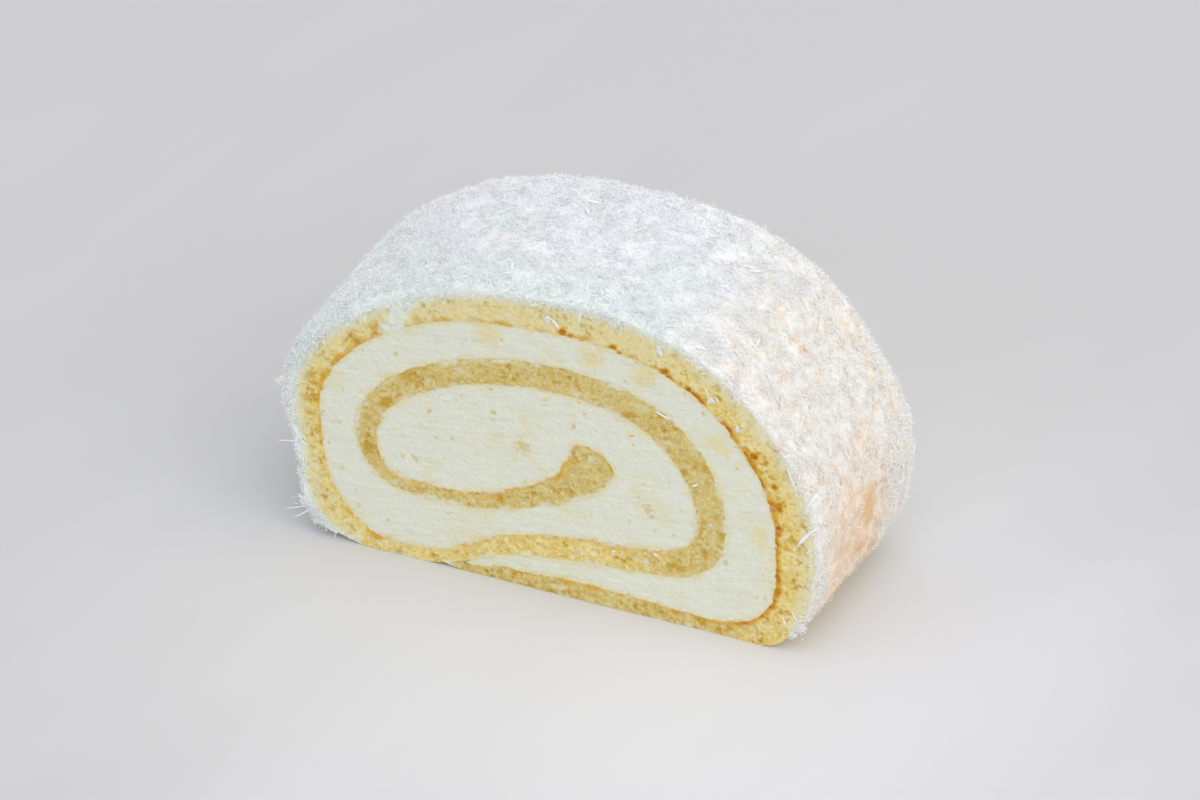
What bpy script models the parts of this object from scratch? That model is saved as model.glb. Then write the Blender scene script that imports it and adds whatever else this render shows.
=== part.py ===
"""A thick slice of coconut swiss roll: one sheet of sponge rolled round cream, in a coat of coconut.

Three pieces run the whole depth of the slice: the rolled sponge, the cream between its turns, and the coat
with its larger coconut shreds. +Z is up, +X runs across the cut face, and the shown cut face looks along -Y.
The origin is the middle of the base. Everything is made from one path: the middle of the sponge sheet as it
winds into the roll.
"""

import math
import random
from collections import namedtuple

import bmesh
import bpy
from mathutils import Matrix, Vector, noise

MM = 0.001

# Driving dimensions
SLICE_DEPTH = 42.4 * MM  # along the roll's axis, from one cut to the other
PATH_STEP = 3.6 * MM  # spacing of points along the sponge
SECTIONS = 3  # rings of faces between the two cuts of the sponge and the cream
FIT_GAP = 0.3 * MM  # clearance between touching pieces

COAT_SECTIONS = 9
COAT_FULLER = 2.0 * MM  # how much thicker it is at the hidden cut than at the shown one, on the right side
COAT_FULLER_LOW = 24 * MM  # it is fuller by all of that up to this height
COAT_FULLER_HIGH = 44 * MM  # and no fuller from here on
COAT_LUMP = 0.35 * MM  # relief of the fine coconut
COAT_LUMP_SIZE = 5.0 * MM
COAT_HEM = 0.7 * MM  # the coat stops this far above the board

SHRED_ROWS = 35  # along the coat, from one hem to the other
SHRED_FILES = 9  # from one cut to the other
SHRED_LENGTH = (2.8 * MM, 4.6 * MM)
SHRED_WIDTH = (0.7 * MM, 1.2 * MM)
SHRED_THICKNESS = 0.75 * MM
SHRED_SUNK = 0.1 * MM  # middle of a shred below the skin
SHRED_TILT = math.radians(11)
SHRED_SEED = 7

SAG = 0.55 * MM  # how far the hand-made roll strays from a true extrusion
SAG_SIZE = 26 * MM
SAG_FREE_HEIGHT = 8 * MM  # the base stays flat, and the sag grows to its full size at this height
CUT_WAVE = 0.3 * MM  # unevenness of the knife cuts

SPONGE_COLOUR = (0.62, 0.47, 0.17, 1)
CREAM_COLOUR = (0.72, 0.74, 0.62, 1)
COCONUT_COLOUR = (0.82, 0.82, 0.80, 1)

# The path of the sponge, from the end tucked under the roll to the end at its heart. A bend has its place
# across and up the cut face in millimetres, its heading in degrees anticlockwise from +X, counted on through
# the turns, and how far the sponge reaches in millimetres towards the cream on it and towards its outer skin.
Bend = namedtuple("Bend", "x z heading cream_side skin_side")
PATH = (
    Bend(-18.5, 1.0, 0, 0.5, 1.2),  # tucked end, pressed thin
    Bend(-9.0, 1.55, 2, 1.6, 1.8),
    Bend(8.0, 1.9, 0, 2.0, 2.0),
    Bend(33.0, 1.4, 0, 1.6, 1.7),  # along the board
    Bend(45.4, 5.4, 50, 3.4, 3.4),  # lower right corner
    Bend(49.3, 22.0, 90, 4.3, 3.7),  # right side
    Bend(37.5, 49.0, 131, 3.8, 3.4),
    Bend(6.0, 61.7, 180, 3.6, 3.2),  # crown
    Bend(-33.5, 53.0, 212, 2.7, 2.8),
    Bend(-50.4, 29.5, 270, 2.7, 3.1),  # left side
    Bend(-49.7, 17.0, 279.5, 2.65, 2.3),
    Bend(-45.6, 7.2, 310, 2.6, 4.2),  # lower left corner
    Bend(-34.0, 1.5, 360, 1.4, 1.7),  # on the board again
    Bend(-24.0, 1.9, 370, 1.5, 1.6),
    Bend(-13.5, 6.8, 387, 2.1, 2.0),  # up over the tucked end
    Bend(2.0, 10.8, 368, 2.6, 2.6),
    Bend(22.0, 13.1, 368, 2.8, 2.8),
    Bend(30.0, 16.8, 410, 3.0, 3.0),
    Bend(32.2, 24.5, 450, 3.1, 2.7),  # second turn, right side
    Bend(24.5, 41.0, 493, 3.1, 3.1),
    Bend(-1.0, 48.0, 540, 2.8, 2.8),  # second turn, crown
    Bend(-26.0, 41.6, 567, 2.6, 2.6),
    Bend(-38.1, 26.0, 630, 2.1, 2.1),  # second turn, left side
    Bend(-34.8, 18.3, 680, 1.6, 1.8),
    Bend(-22.5, 16.2, 720, 1.5, 1.5),
    Bend(-5.0, 20.3, 744, 2.4, 2.0),
    Bend(3.0, 25.0, 754, 3.0, 3.0),
    Bend(6.0, 27.9, 762, 4.2, 4.2),
    Bend(8.2, 31.6, 785, 4.8, 4.6),  # folded end at the heart
)
STEPS_PER_BEND = 24
TUCK_EDGE = -22.0 * MM  # where across the face the tucked end feathers out
WEDGE_TIP = 0.8 * MM  # along the path, where the cream begins over the tucked end, as a point
WEDGE_START = 2.6 * MM  # along the path, where it has both a floor and a roof
WEDGE_ROOF = (256 * MM, 300 * MM)  # along the path, where the second turn rises over the tucked end
COAT_FROM = 67.0 * MM  # along the path, near the lower right corner
COAT_TO = 246.0 * MM  # along the path, near the lower left corner

# Thickness of the coat in millimetres at distances along the path in millimetres
Coat = namedtuple("Coat", "along thick")
COAT = (
    Coat(67, 0.6),  # hem at the lower right
    Coat(78, 1.4),
    Coat(94, 2.1),  # right side
    Coat(120, 1.3),
    Coat(148, 1.1),  # crown
    Coat(185, 2.0),
    Coat(215, 3.1),
    Coat(220, 3.0),  # left side
    Coat(227, 1.6),
    Coat(234, 1.3),
    Coat(241, 2.9),
    Coat(246, 1.0),  # hem at the lower left
)

Station = namedtuple("Station", "along place heading cream_side skin_side")


def clear_scene():
    for obj in list(bpy.data.objects):
        bpy.data.objects.remove(obj, do_unlink=True)


def smooth(t):
    return t * t * (3 - 2 * t)


def ramp(value, low, high):
    """0 up to low, 1 from high, and smooth between."""
    return smooth(min(1.0, max(0.0, (value - low) / (high - low))))


def heading_vector(degrees):
    return Vector((math.cos(math.radians(degrees)), math.sin(math.radians(degrees))))


def bend_points(a, b):
    """Place, heading and reach of the sponge at even steps from bend a to bend b, on a cubic curve."""
    start, end = Vector((a.x, a.z)) * MM, Vector((b.x, b.z)) * MM
    out, back = heading_vector(a.heading), heading_vector(b.heading)
    turn = math.radians(b.heading - a.heading)
    reach = 4 / 3 * math.tan(turn / 4) / math.sin(turn) if abs(turn) > 0.01 else 1 / 3
    chord = end - start
    leave = start + out * reach * chord.dot(out)
    arrive = end - back * reach * chord.dot(back)
    for step in range(STEPS_PER_BEND):
        t = step / STEPS_PER_BEND
        u = 1 - t
        place = u**3 * start + 3 * u * u * t * leave + 3 * u * t * t * arrive + t**3 * end
        slope = u * u * (leave - start) + 2 * u * t * (arrive - leave) + t * t * (end - arrive)
        blend = smooth(t)
        cream = (a.cream_side + (b.cream_side - a.cream_side) * blend) * MM
        skin = (a.skin_side + (b.skin_side - a.skin_side) * blend) * MM
        yield place, slope.normalized(), cream, skin


def fine_path():
    """The whole path as closely spaced stations, each with its distance along the sponge."""
    rows = [row for a, b in zip(PATH, PATH[1:]) for row in bend_points(a, b)]
    last = PATH[-1]
    end = Vector((last.x, last.z)) * MM
    rows.append((end, heading_vector(last.heading), last.cream_side * MM, last.skin_side * MM))
    stations, along, before = [], 0.0, rows[0][0]
    for place, heading, cream, skin in rows:
        along += (place - before).length
        before = place
        stations.append(Station(along, place, heading, cream, skin))
    return stations


def station_at(path, along):
    """The station at a distance along the sponge, between the two nearest ones."""
    low, high = 0, len(path) - 1
    while high - low > 1:
        middle = (low + high) // 2
        if path[middle].along <= along:
            low = middle
        else:
            high = middle
    a, b = path[low], path[high]
    t = min(1.0, max(0.0, (along - a.along) / (b.along - a.along)))
    return Station(
        along,
        a.place.lerp(b.place, t),
        a.heading.lerp(b.heading, t).normalized(),
        a.cream_side + (b.cream_side - a.cream_side) * t,
        a.skin_side + (b.skin_side - a.skin_side) * t,
    )


def even_stations(path, start, end, step):
    count = max(2, round((end - start) / step))
    return [station_at(path, start + (end - start) * i / count) for i in range(count + 1)]


def left_of(heading):
    return Vector((-heading.y, heading.x))


def cream_edge(station, clearance=0.0):
    """A point on the edge of the sponge that the cream was spread on, or beyond it by the clearance."""
    return station.place + left_of(station.heading) * (station.cream_side + clearance)


def skin_edge(station, clearance=0.0):
    """The same on the outer skin of the sponge, which is flat where it lies on the board."""
    place = station.place - left_of(station.heading) * (station.skin_side + clearance)
    return Vector((place.x, max(0.0, place.y)))


def inner_end_cap(station, clearance=0.0):
    """Points round the end of the sponge at the heart, from the cream side to the skin side."""
    side = left_of(station.heading)
    half = (station.cream_side + station.skin_side) / 2 + clearance
    middle = station.place + side * (station.cream_side - station.skin_side) / 2
    for degrees in (60, 25, -10, -50):
        angle = math.radians(degrees)
        bulge = 0.62 * half * math.cos(angle)
        yield middle + side * half * math.sin(angle) * 1.04 + station.heading * bulge


def wedge_roof_over(path, x):
    """The distance along the path where the second turn is above a place on the tucked end."""
    low, high = WEDGE_ROOF
    return min((s for s in path if low < s.along < high), key=lambda s: abs(skin_edge(s).x - x)).along


def tucked_end(path):
    """The top of the end that is tucked under the second turn, from its feather edge to where the cream begins."""
    start = wedge_roof_over(path, TUCK_EDGE)
    end = wedge_roof_over(path, cream_edge(path[0]).x)
    return [skin_edge(s, FIT_GAP) for s in even_stations(path, start, end, PATH_STEP)[:-1]]


def sponge_outline(path):
    """The cut face of the sponge: out along its cream side, round the heart, and back along its skin."""
    stations = even_stations(path, 0, path[-1].along, PATH_STEP)
    cream = [cream_edge(s) for s in stations]
    skin = [skin_edge(s) for s in reversed(stations)]
    return tucked_end(path) + cream + list(inner_end_cap(stations[-1])) + skin


def cream_outline(path):
    """The channel between the turns, from its pointed start over the tucked end to the heart and back."""
    tip_floor = cream_edge(station_at(path, WEDGE_TIP))
    tip_roof = skin_edge(station_at(path, wedge_roof_over(path, tip_floor.x)))
    start = station_at(path, WEDGE_START)
    out = even_stations(path, WEDGE_START, path[-1].along, PATH_STEP)
    back_from = wedge_roof_over(path, cream_edge(start).x)
    back = even_stations(path, back_from, path[-1].along, PATH_STEP)
    outward = [cream_edge(s, FIT_GAP) for s in out]
    homeward = [skin_edge(s, FIT_GAP) for s in reversed(back)]
    return [tip_floor.lerp(tip_roof, 0.5)] + outward + list(inner_end_cap(out[-1], FIT_GAP)) + homeward


def coat_thickness(along):
    """Between the two places of the COAT table on either side."""
    for a, b in zip(COAT, COAT[1:]):
        if along <= b.along * MM:
            t = max(0.0, (along / MM - a.along) / (b.along - a.along))
            return (a.thick + (b.thick - a.thick) * smooth(t)) * MM
    return COAT[-1].thick * MM


def coat_point(station, out):
    """A point in the coat, the given distance out from the sponge's skin."""
    place = skin_edge(station, out)
    return Vector((place.x, max(COAT_HEM, place.y)))


def coat_outline(path):
    stations = even_stations(path, COAT_FROM, COAT_TO, PATH_STEP)
    inner = [coat_point(s, FIT_GAP) for s in stations]
    outer = [coat_point(s, FIT_GAP + coat_thickness(s.along)) for s in reversed(stations)]
    return inner + outer


def slab_from_outline(name, outline, sections):
    """A closed mesh object of the outline, as deep as the slice, with rings of edges between its two cuts."""
    curve = bpy.data.curves.new(name, "CURVE")
    curve.dimensions = "2D"
    curve.fill_mode = "BOTH"
    curve.extrude = SLICE_DEPTH / 2
    spline = curve.splines.new("POLY")
    spline.points.add(len(outline) - 1)
    for point, place in zip(spline.points, outline):
        point.co = (place.x, place.y, 0, 1)
    spline.use_cyclic_u = True
    drawn = bpy.data.objects.new(name + "_outline", curve)
    drawn.rotation_euler = (math.radians(90), 0, 0)
    bpy.context.scene.collection.objects.link(drawn)
    bpy.context.view_layer.update()
    mesh = bpy.data.meshes.new_from_object(drawn.evaluated_get(bpy.context.evaluated_depsgraph_get()))
    mesh.transform(drawn.matrix_world)
    bpy.data.objects.remove(drawn)
    shape = bmesh.new()
    shape.from_mesh(mesh)
    bmesh.ops.remove_doubles(shape, verts=shape.verts, dist=0.00001)
    for ring in range(1, sections):
        bmesh.ops.bisect_plane(
            shape,
            geom=shape.verts[:] + shape.edges[:] + shape.faces[:],
            plane_co=(0, SLICE_DEPTH * (ring / sections - 0.5), 0),
            plane_no=(0, 1, 0),
        )
    bmesh.ops.triangulate(shape, faces=shape.faces)
    bmesh.ops.recalc_face_normals(shape, faces=shape.faces)
    shape.to_mesh(mesh)
    shape.free()
    mesh.name = name
    obj = bpy.data.objects.new(name, mesh)
    return obj


def wander(place, size, channel):
    """Smooth noise from -1 to 1, with features of the given size."""
    return noise.noise(place / size + Vector((17.3 * channel, 5.1, -9.7)))


def sag(place):
    """How far a point of a true extrusion moves in the hand-made roll. The base stays flat on the board."""
    free = ramp(place.z, 0, SAG_FREE_HEIGHT)
    cut = CUT_WAVE * wander(place, SAG_SIZE, 3)
    across = SAG * wander(place, SAG_SIZE, 1) * free
    up = SAG * wander(place, SAG_SIZE, 2) * free
    return Vector((across, cut, up))


def settle(obj):
    """Moves a finished slab's points by the roll's sag, which is the same for all of the pieces."""
    for vertex in obj.data.vertices:
        vertex.co += sag(vertex.co)


def coat_relief(place):
    """How far the outside of the coat stands out at a place: low lumps, and a fuller right side behind."""
    lump = COAT_LUMP * wander(place, COAT_LUMP_SIZE, 4)
    low = 1 - ramp(place.z, COAT_FULLER_LOW, COAT_FULLER_HIGH)
    fuller = COAT_FULLER * ramp(place.x, 0, 40 * MM) * low * (place.y / SLICE_DEPTH + 0.5)
    free = ramp(place.z, 0, SAG_FREE_HEIGHT)
    away = Vector((place.x, 0, place.z - 24 * MM)).normalized()
    return away * (lump + fuller) * free


def roughen_coat(obj, path):
    """Gives the outside of the coat its relief, and leaves the inside as it is."""
    for vertex in obj.data.vertices:
        if distance_outside_sponge(path, vertex.co) >= FIT_GAP * 1.3:
            vertex.co += coat_relief(vertex.co)


def distance_outside_sponge(path, co):
    """Distance from a point of the coat to the skin of the outer turn."""
    flat = Vector((co.x, co.z))
    return min((skin_edge(s) - flat).length for s in path if COAT_FROM <= s.along <= COAT_TO)


def shred(name, draw, along, across, path):
    """One coconut shred: a thin slat with one narrower end, lying on the coat and a little tilted."""
    station = station_at(path, along)
    foot = coat_point(station, FIT_GAP + coat_thickness(along) - SHRED_SUNK)
    away = -left_of(station.heading)
    outward = Vector((away.x, 0, away.y))
    place = Vector((foot.x, across, foot.y))
    place += coat_relief(place)
    spin = Matrix.Rotation(draw.uniform(0, math.pi), 4, outward)
    lean = Matrix.Rotation(draw.uniform(-SHRED_TILT, SHRED_TILT), 4, Vector((0, 1, 0)))
    upright = outward.to_track_quat("Z", "Y").to_matrix().to_4x4()
    length = draw.uniform(*SHRED_LENGTH)
    width = draw.uniform(*SHRED_WIDTH)
    shape = bmesh.new()
    bmesh.ops.create_cube(shape, size=1)
    narrow = draw.uniform(0.45, 0.8)
    for vertex in shape.verts:
        slim = narrow if vertex.co.x > 0 else 1.0
        vertex.co = Vector((vertex.co.x * length, vertex.co.y * width * slim, vertex.co.z * SHRED_THICKNESS))
    bmesh.ops.transform(shape, matrix=spin @ upright @ lean, verts=shape.verts)
    bmesh.ops.translate(shape, vec=place + sag(place), verts=shape.verts)
    mesh = bpy.data.meshes.new(name)
    shape.to_mesh(mesh)
    shape.free()
    return bpy.data.objects.new(name, mesh)


def scatter_shreds(path, collection):
    """The larger shreds, one to each patch of the coat, with a seeded draw for its place in the patch."""
    draw = random.Random(SHRED_SEED)
    row_length = (COAT_TO - COAT_FROM - 2 * SHRED_WIDTH[1]) / SHRED_ROWS
    file_width = (SLICE_DEPTH - SHRED_LENGTH[0]) / SHRED_FILES
    for row in range(SHRED_ROWS):
        for file in range(SHRED_FILES):
            along = COAT_FROM + SHRED_WIDTH[1] + row_length * (row + draw.uniform(0.3, 0.7))
            across = file_width * (file + 0.5 * (row % 2) + draw.uniform(0.1, 0.4) - SHRED_FILES / 2)
            collection.objects.link(shred(f"shred_{row}_{file}", draw, along, across, path))


def join_shreds(coat, collection):
    """Fuses the shreds to the coat, and removes their own objects."""
    join = coat.modifiers.new("join_shreds", "BOOLEAN")
    join.operation = "UNION"
    join.operand_type = "COLLECTION"
    join.collection = collection
    join.solver = "MANIFOLD"
    bpy.context.view_layer.update()
    joined = bpy.data.meshes.new_from_object(coat.evaluated_get(bpy.context.evaluated_depsgraph_get()))
    coat.modifiers.clear()
    coat.data = joined
    for obj in list(collection.objects):
        bpy.data.objects.remove(obj, do_unlink=True)
    bpy.data.collections.remove(collection)


def matt_material(name, colour, roughness):
    material = bpy.data.materials.new(name)
    material.use_nodes = True
    shader = material.node_tree.nodes["Principled BSDF"]
    shader.inputs["Base Color"].default_value = colour
    shader.inputs["Roughness"].default_value = roughness
    shader.inputs["Metallic"].default_value = 0.0
    material.diffuse_color = colour
    return material


def build_sponge(path, collection):
    sponge = slab_from_outline("sponge", sponge_outline(path), SECTIONS)
    collection.objects.link(sponge)
    settle(sponge)
    sponge.data.materials.append(matt_material("baked_sponge", SPONGE_COLOUR, 0.9))


def build_cream(path, collection):
    cream = slab_from_outline("cream", cream_outline(path), SECTIONS)
    collection.objects.link(cream)
    settle(cream)
    cream.data.materials.append(matt_material("whipped_cream", CREAM_COLOUR, 0.6))


def build_coat(path, collection):
    coat = slab_from_outline("coconut_coat", coat_outline(path), COAT_SECTIONS)
    collection.objects.link(coat)
    roughen_coat(coat, path)
    settle(coat)
    shreds = bpy.data.collections.new("shreds")
    bpy.context.scene.collection.children.link(shreds)
    scatter_shreds(path, shreds)
    join_shreds(coat, shreds)
    coat.data.materials.clear()
    coat.data.materials.append(matt_material("shredded_coconut", COCONUT_COLOUR, 0.8))


def main():
    clear_scene()
    roll = bpy.data.collections.new("coconut_swiss_roll")
    bpy.context.scene.collection.children.link(roll)
    path = fine_path()
    build_sponge(path, roll)
    build_cream(path, roll)
    build_coat(path, roll)


main()
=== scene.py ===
"""The looks of a thick slice of coconut swiss roll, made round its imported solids.

The sponge, the cream and the coat follow the same path as the solids do: the middle of the sponge sheet as
it winds into the roll. Both cut faces are finely triangulated and carry real relief: pits and torn crumb in
the sponge, knife marks and bubbles in the cream. One Geometry Nodes tree scatters the coconut on the coat.
"""

import math
import random
from collections import namedtuple

import bmesh
import bpy
import numpy as np
from bpy.props import FloatProperty, FloatVectorProperty, IntProperty, PointerProperty
from mathutils import Matrix, Vector, geometry, kdtree, noise


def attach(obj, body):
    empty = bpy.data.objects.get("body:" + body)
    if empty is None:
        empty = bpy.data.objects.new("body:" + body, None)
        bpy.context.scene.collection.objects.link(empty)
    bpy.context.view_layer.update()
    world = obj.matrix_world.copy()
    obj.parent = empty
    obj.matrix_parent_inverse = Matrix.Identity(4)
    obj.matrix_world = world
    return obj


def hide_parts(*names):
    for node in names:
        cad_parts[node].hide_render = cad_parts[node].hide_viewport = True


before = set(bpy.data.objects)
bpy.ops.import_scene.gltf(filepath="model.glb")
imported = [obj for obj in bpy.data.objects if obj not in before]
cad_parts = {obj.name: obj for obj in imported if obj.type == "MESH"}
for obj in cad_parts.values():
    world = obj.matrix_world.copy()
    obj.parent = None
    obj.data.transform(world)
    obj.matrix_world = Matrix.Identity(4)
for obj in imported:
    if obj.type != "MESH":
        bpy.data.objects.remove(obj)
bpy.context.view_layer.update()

bl_info = {
    "name": "Coconut Swiss Roll Slice",
    "version": (1, 0, 0),
    "blender": (4, 5, 0),
    "location": "View3D > Sidebar > Swiss Roll",
    "description": "Builds the sponge, cream, coconut and crumbs of a slice of swiss roll",
    "category": "Add Mesh",
}

MM = 0.001
SHARP_ANGLE = math.radians(60)  # edges that turn by more than this are shaded as sharp

# The slice, as its solids have it
SLICE_DEPTH = 42.4 * MM
SAG = 0.55 * MM
SAG_SIZE = 26 * MM
SAG_FREE_HEIGHT = 8 * MM
CUT_WAVE = 0.3 * MM
Bend = namedtuple("Bend", "x z heading cream_side skin_side")
PATH = (
    Bend(-18.5, 1.0, 0, 0.5, 1.2),  # tucked end, pressed thin
    Bend(-9.0, 1.55, 2, 1.6, 1.8),
    Bend(8.0, 1.9, 0, 2.0, 2.0),
    Bend(33.0, 1.4, 0, 1.6, 1.7),  # along the board
    Bend(45.4, 5.4, 50, 3.4, 3.4),  # lower right corner
    Bend(49.3, 22.0, 90, 4.3, 3.7),  # right side
    Bend(37.5, 49.0, 131, 3.8, 3.4),
    Bend(6.0, 61.7, 180, 3.6, 3.2),  # crown
    Bend(-33.5, 53.0, 212, 2.7, 2.8),
    Bend(-50.4, 29.5, 270, 2.7, 3.1),  # left side
    Bend(-49.7, 17.0, 279.5, 2.65, 2.3),
    Bend(-45.6, 7.2, 310, 2.6, 4.2),  # lower left corner
    Bend(-34.0, 1.5, 360, 1.4, 1.7),  # on the board again
    Bend(-24.0, 1.9, 370, 1.5, 1.6),
    Bend(-13.5, 6.8, 387, 2.1, 2.0),  # up over the tucked end
    Bend(2.0, 10.8, 368, 2.6, 2.6),
    Bend(22.0, 13.1, 368, 2.8, 2.8),
    Bend(30.0, 16.8, 410, 3.0, 3.0),
    Bend(32.2, 24.5, 450, 3.1, 2.7),  # second turn, right side
    Bend(24.5, 41.0, 493, 3.1, 3.1),
    Bend(-1.0, 48.0, 540, 2.8, 2.8),  # second turn, crown
    Bend(-26.0, 41.6, 567, 2.6, 2.6),
    Bend(-38.1, 26.0, 630, 2.1, 2.1),  # second turn, left side
    Bend(-34.8, 18.3, 680, 1.6, 1.8),
    Bend(-22.5, 16.2, 720, 1.5, 1.5),
    Bend(-5.0, 20.3, 744, 2.4, 2.0),
    Bend(3.0, 25.0, 754, 3.0, 3.0),
    Bend(6.0, 27.9, 762, 4.2, 4.2),
    Bend(8.2, 31.6, 785, 4.8, 4.6),  # folded end at the heart
)
STEPS_PER_BEND = 24
TUCK_EDGE = -22.4 * MM  # where across the face the tucked end feathers out
SLIT_PLACE = Vector((-20.0, 1.0)) * MM  # the narrow slit over it
WEDGE_TIP = 0.3 * MM  # along the path, where the cream begins over the tucked end, as a point
WEDGE_START = 2.6 * MM  # along the path, where it has both a floor and a roof
WEDGE_ROOF = (256 * MM, 300 * MM)  # along the path, where the second turn rises over the tucked end
COAT_FROM = 67.0 * MM  # along the path, near the lower right corner
COAT_TO = 246.0 * MM  # along the path, near the lower left corner
COAT_FULLER = 2.0 * MM  # how much thicker it is at the hidden cut than at the shown one, on the right side
COAT_FULLER_LOW = 24 * MM  # it is fuller by all of that up to this height
COAT_FULLER_HIGH = 44 * MM  # and no fuller from here on
Coat = namedtuple("Coat", "along thick")
COAT = (
    Coat(67, 0.6),  # hem at the lower right
    Coat(78, 1.4),
    Coat(94, 2.1),  # right side
    Coat(120, 1.3),
    Coat(148, 1.1),  # crown
    Coat(185, 2.0),
    Coat(215, 3.1),
    Coat(220, 3.0),  # left side
    Coat(227, 1.6),
    Coat(234, 1.3),
    Coat(241, 2.9),
    Coat(246, 1.0),  # hem at the lower left
)

Station = namedtuple("Station", "along place heading cream_side skin_side")


def paint(*screen):
    """A linear colour from the 0 to 255 values that a screen shows."""
    shares = [value / 255 for value in screen]
    return tuple(c / 12.92 if c <= 0.04045 else ((c + 0.055) / 1.055) ** 2.4 for c in shares)


# What a user would change

def whole_number(name, description, default):
    return IntProperty(name=name, description=description, default=default)


def real_number(name, description, default, subtype="NONE"):
    return FloatProperty(name=name, description=description, default=default, subtype=subtype)


def length(name, description, millimetres):
    default = millimetres * MM
    return FloatProperty(name=name, description=description, default=default, unit="LENGTH", precision=5)


def colour(name, description, *screen):
    return FloatVectorProperty(name=name, description=description, default=paint(*screen), subtype="COLOR")


class SpongeLook(bpy.types.PropertyGroup):
    spacing: length("Face Spacing", "Between points on the cut faces", 0.29)
    clusters: whole_number("Clusters", "Clusters of open pits on each cut face", 240)
    crumbs: whole_number("Crumbs", "Loose crumbs on each cut face", 34)
    pit_depth: length("Pit Depth", "Depth of the largest pits", 0.3)
    crumb_height: length("Crumb Height", "Height of the torn crumb", 0.2)
    # Painted highlight: paler colour on the raised ridges of the torn crumb
    ridge_highlight_colour: colour("Bright Crumb", "Standing crumb", 250, 240, 200)
    crumb_colour: colour("Crumb", "Pale crumb", 243, 224, 148)
    # Denser crumb at random, and painted shade in the dips between the raised ridges
    dense_crumb_and_dip_shade_colour: colour("Deep Crumb", "Denser crumb", 225, 193, 92)
    # Painted shade inside pits and pinholes, and the golden colour of the torn spots
    pit_shade_and_torn_gold_colour: colour("Pits", "Inside of pits", 204, 160, 36)
    gold_colour: colour("Gold", "Crumb next to the crust", 228, 178, 62)
    crust_colour: colour("Crust", "Browned crust", 200, 130, 10)
    dark_colour: colour("Dark Crust", "Nicks in the crust", 150, 88, 8)
    shade_colour: colour("Shade", "Shade of the inner turn", 120, 100, 60)


class CreamLook(bpy.types.PropertyGroup):
    spacing: length("Face Spacing", "Between points on the cut faces", 0.36)
    drag_height: length("Knife Drag", "Height of the knife marks", 0.07)
    lump_height: length("Lumps", "Height of the fine lumps", 0.1)
    bubble_count: whole_number("Bubbles", "Small open bubbles on each cut face", 26)
    cream_colour: colour("Cream", "Cream", 239, 243, 230)
    butter_colour: colour("Buttery Cream", "Warmer streaks", 238, 232, 190)
    # Specks of sponge in the cream, and painted shade inside the bubbles
    fleck_and_bubble_shade_colour: colour("Flecks", "Specks of sponge in the cream", 222, 198, 104)


class CoconutLook(bpy.types.PropertyGroup):
    skin: real_number("Skin", "Share of the coat that is cream", 0.82, "FACTOR")
    fine_density: real_number("Fine", "Finest shreds in a square millimetre", 5.6)
    medium_density: real_number("Medium", "Medium shreds in a square millimetre", 1.8)
    long_density: real_number("Long", "Long shreds in a square millimetre", 0.03)
    whisker_density: real_number("Whiskers", "Whiskers in a square millimetre", 0.4)
    white_colour: colour("White", "Coconut in cool light", 250, 252, 255)
    mint_colour: colour("Mint", "Greenish shreds and cream", 232, 246, 236)
    shade_colour: colour("Shaded Shreds", "Shreds that are less white", 208, 211, 218)
    # Painted light: shreds that lie on a cut face are coloured a brighter white, standing in for the light
    # they catch
    loose_highlight_colour: colour("Loose", "Shreds that lie on a cut face", 254, 254, 252)
    warm_colour: colour("Warm White", "Coconut on the warm side", 250, 248, 243)
    peach_colour: colour("Peach", "Crust through the coat", 236, 208, 176)
    toast_colour: colour("Toast", "Crust where the coat is thinnest", 232, 194, 146)


class StageLook(bpy.types.PropertyGroup):
    # The floor's colour paints a pool of light near the slice, and shade further off and in folds of the
    # cloth
    lit_floor_colour: colour("Near Floor", "Cloth in front of the slice", 227, 227, 231)
    shaded_floor_colour: colour("Far Floor", "Cloth further off", 199, 199, 201)
    sky_strength: real_number("Sky", "Strength of the even light", 0.80)
    key_power: real_number("Key", "Power of the large soft light", 34)


class SwissRollLook(bpy.types.PropertyGroup):
    seed: whole_number("Seed", "Seed of every random draw", 11)
    sponge: PointerProperty(type=SpongeLook)
    cream: PointerProperty(type=CreamLook)
    coconut: PointerProperty(type=CoconutLook)
    stage: PointerProperty(type=StageLook)


# The path of the sponge sheet

def smooth(t):
    return t * t * (3 - 2 * t)


def ramp(value, low, high):
    """0 up to low, 1 from high, and smooth between."""
    return smooth(np.clip((value - low) / (high - low), 0.0, 1.0))


def heading_vector(degrees):
    return Vector((math.cos(math.radians(degrees)), math.sin(math.radians(degrees))))


def bend_points(a, b):
    """Place, heading and sponge reach at even steps from bend a up to b, on a cubic with both headings."""
    start, end = Vector((a.x, a.z)) * MM, Vector((b.x, b.z)) * MM
    out, back = heading_vector(a.heading), heading_vector(b.heading)
    turn = math.radians(b.heading - a.heading)
    reach = 4 / 3 * math.tan(turn / 4) / math.sin(turn) if abs(turn) > 0.01 else 1 / 3
    chord = end - start
    leave = start + out * reach * chord.dot(out)
    arrive = end - back * reach * chord.dot(back)
    for step in range(STEPS_PER_BEND):
        t = step / STEPS_PER_BEND
        u = 1 - t
        place = u**3 * start + 3 * u * u * t * leave + 3 * u * t * t * arrive + t**3 * end
        slope = u * u * (leave - start) + 2 * u * t * (arrive - leave) + t * t * (end - arrive)
        blend = smooth(t)
        cream = (a.cream_side + (b.cream_side - a.cream_side) * blend) * MM
        skin = (a.skin_side + (b.skin_side - a.skin_side) * blend) * MM
        yield place, slope.normalized(), cream, skin


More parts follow.
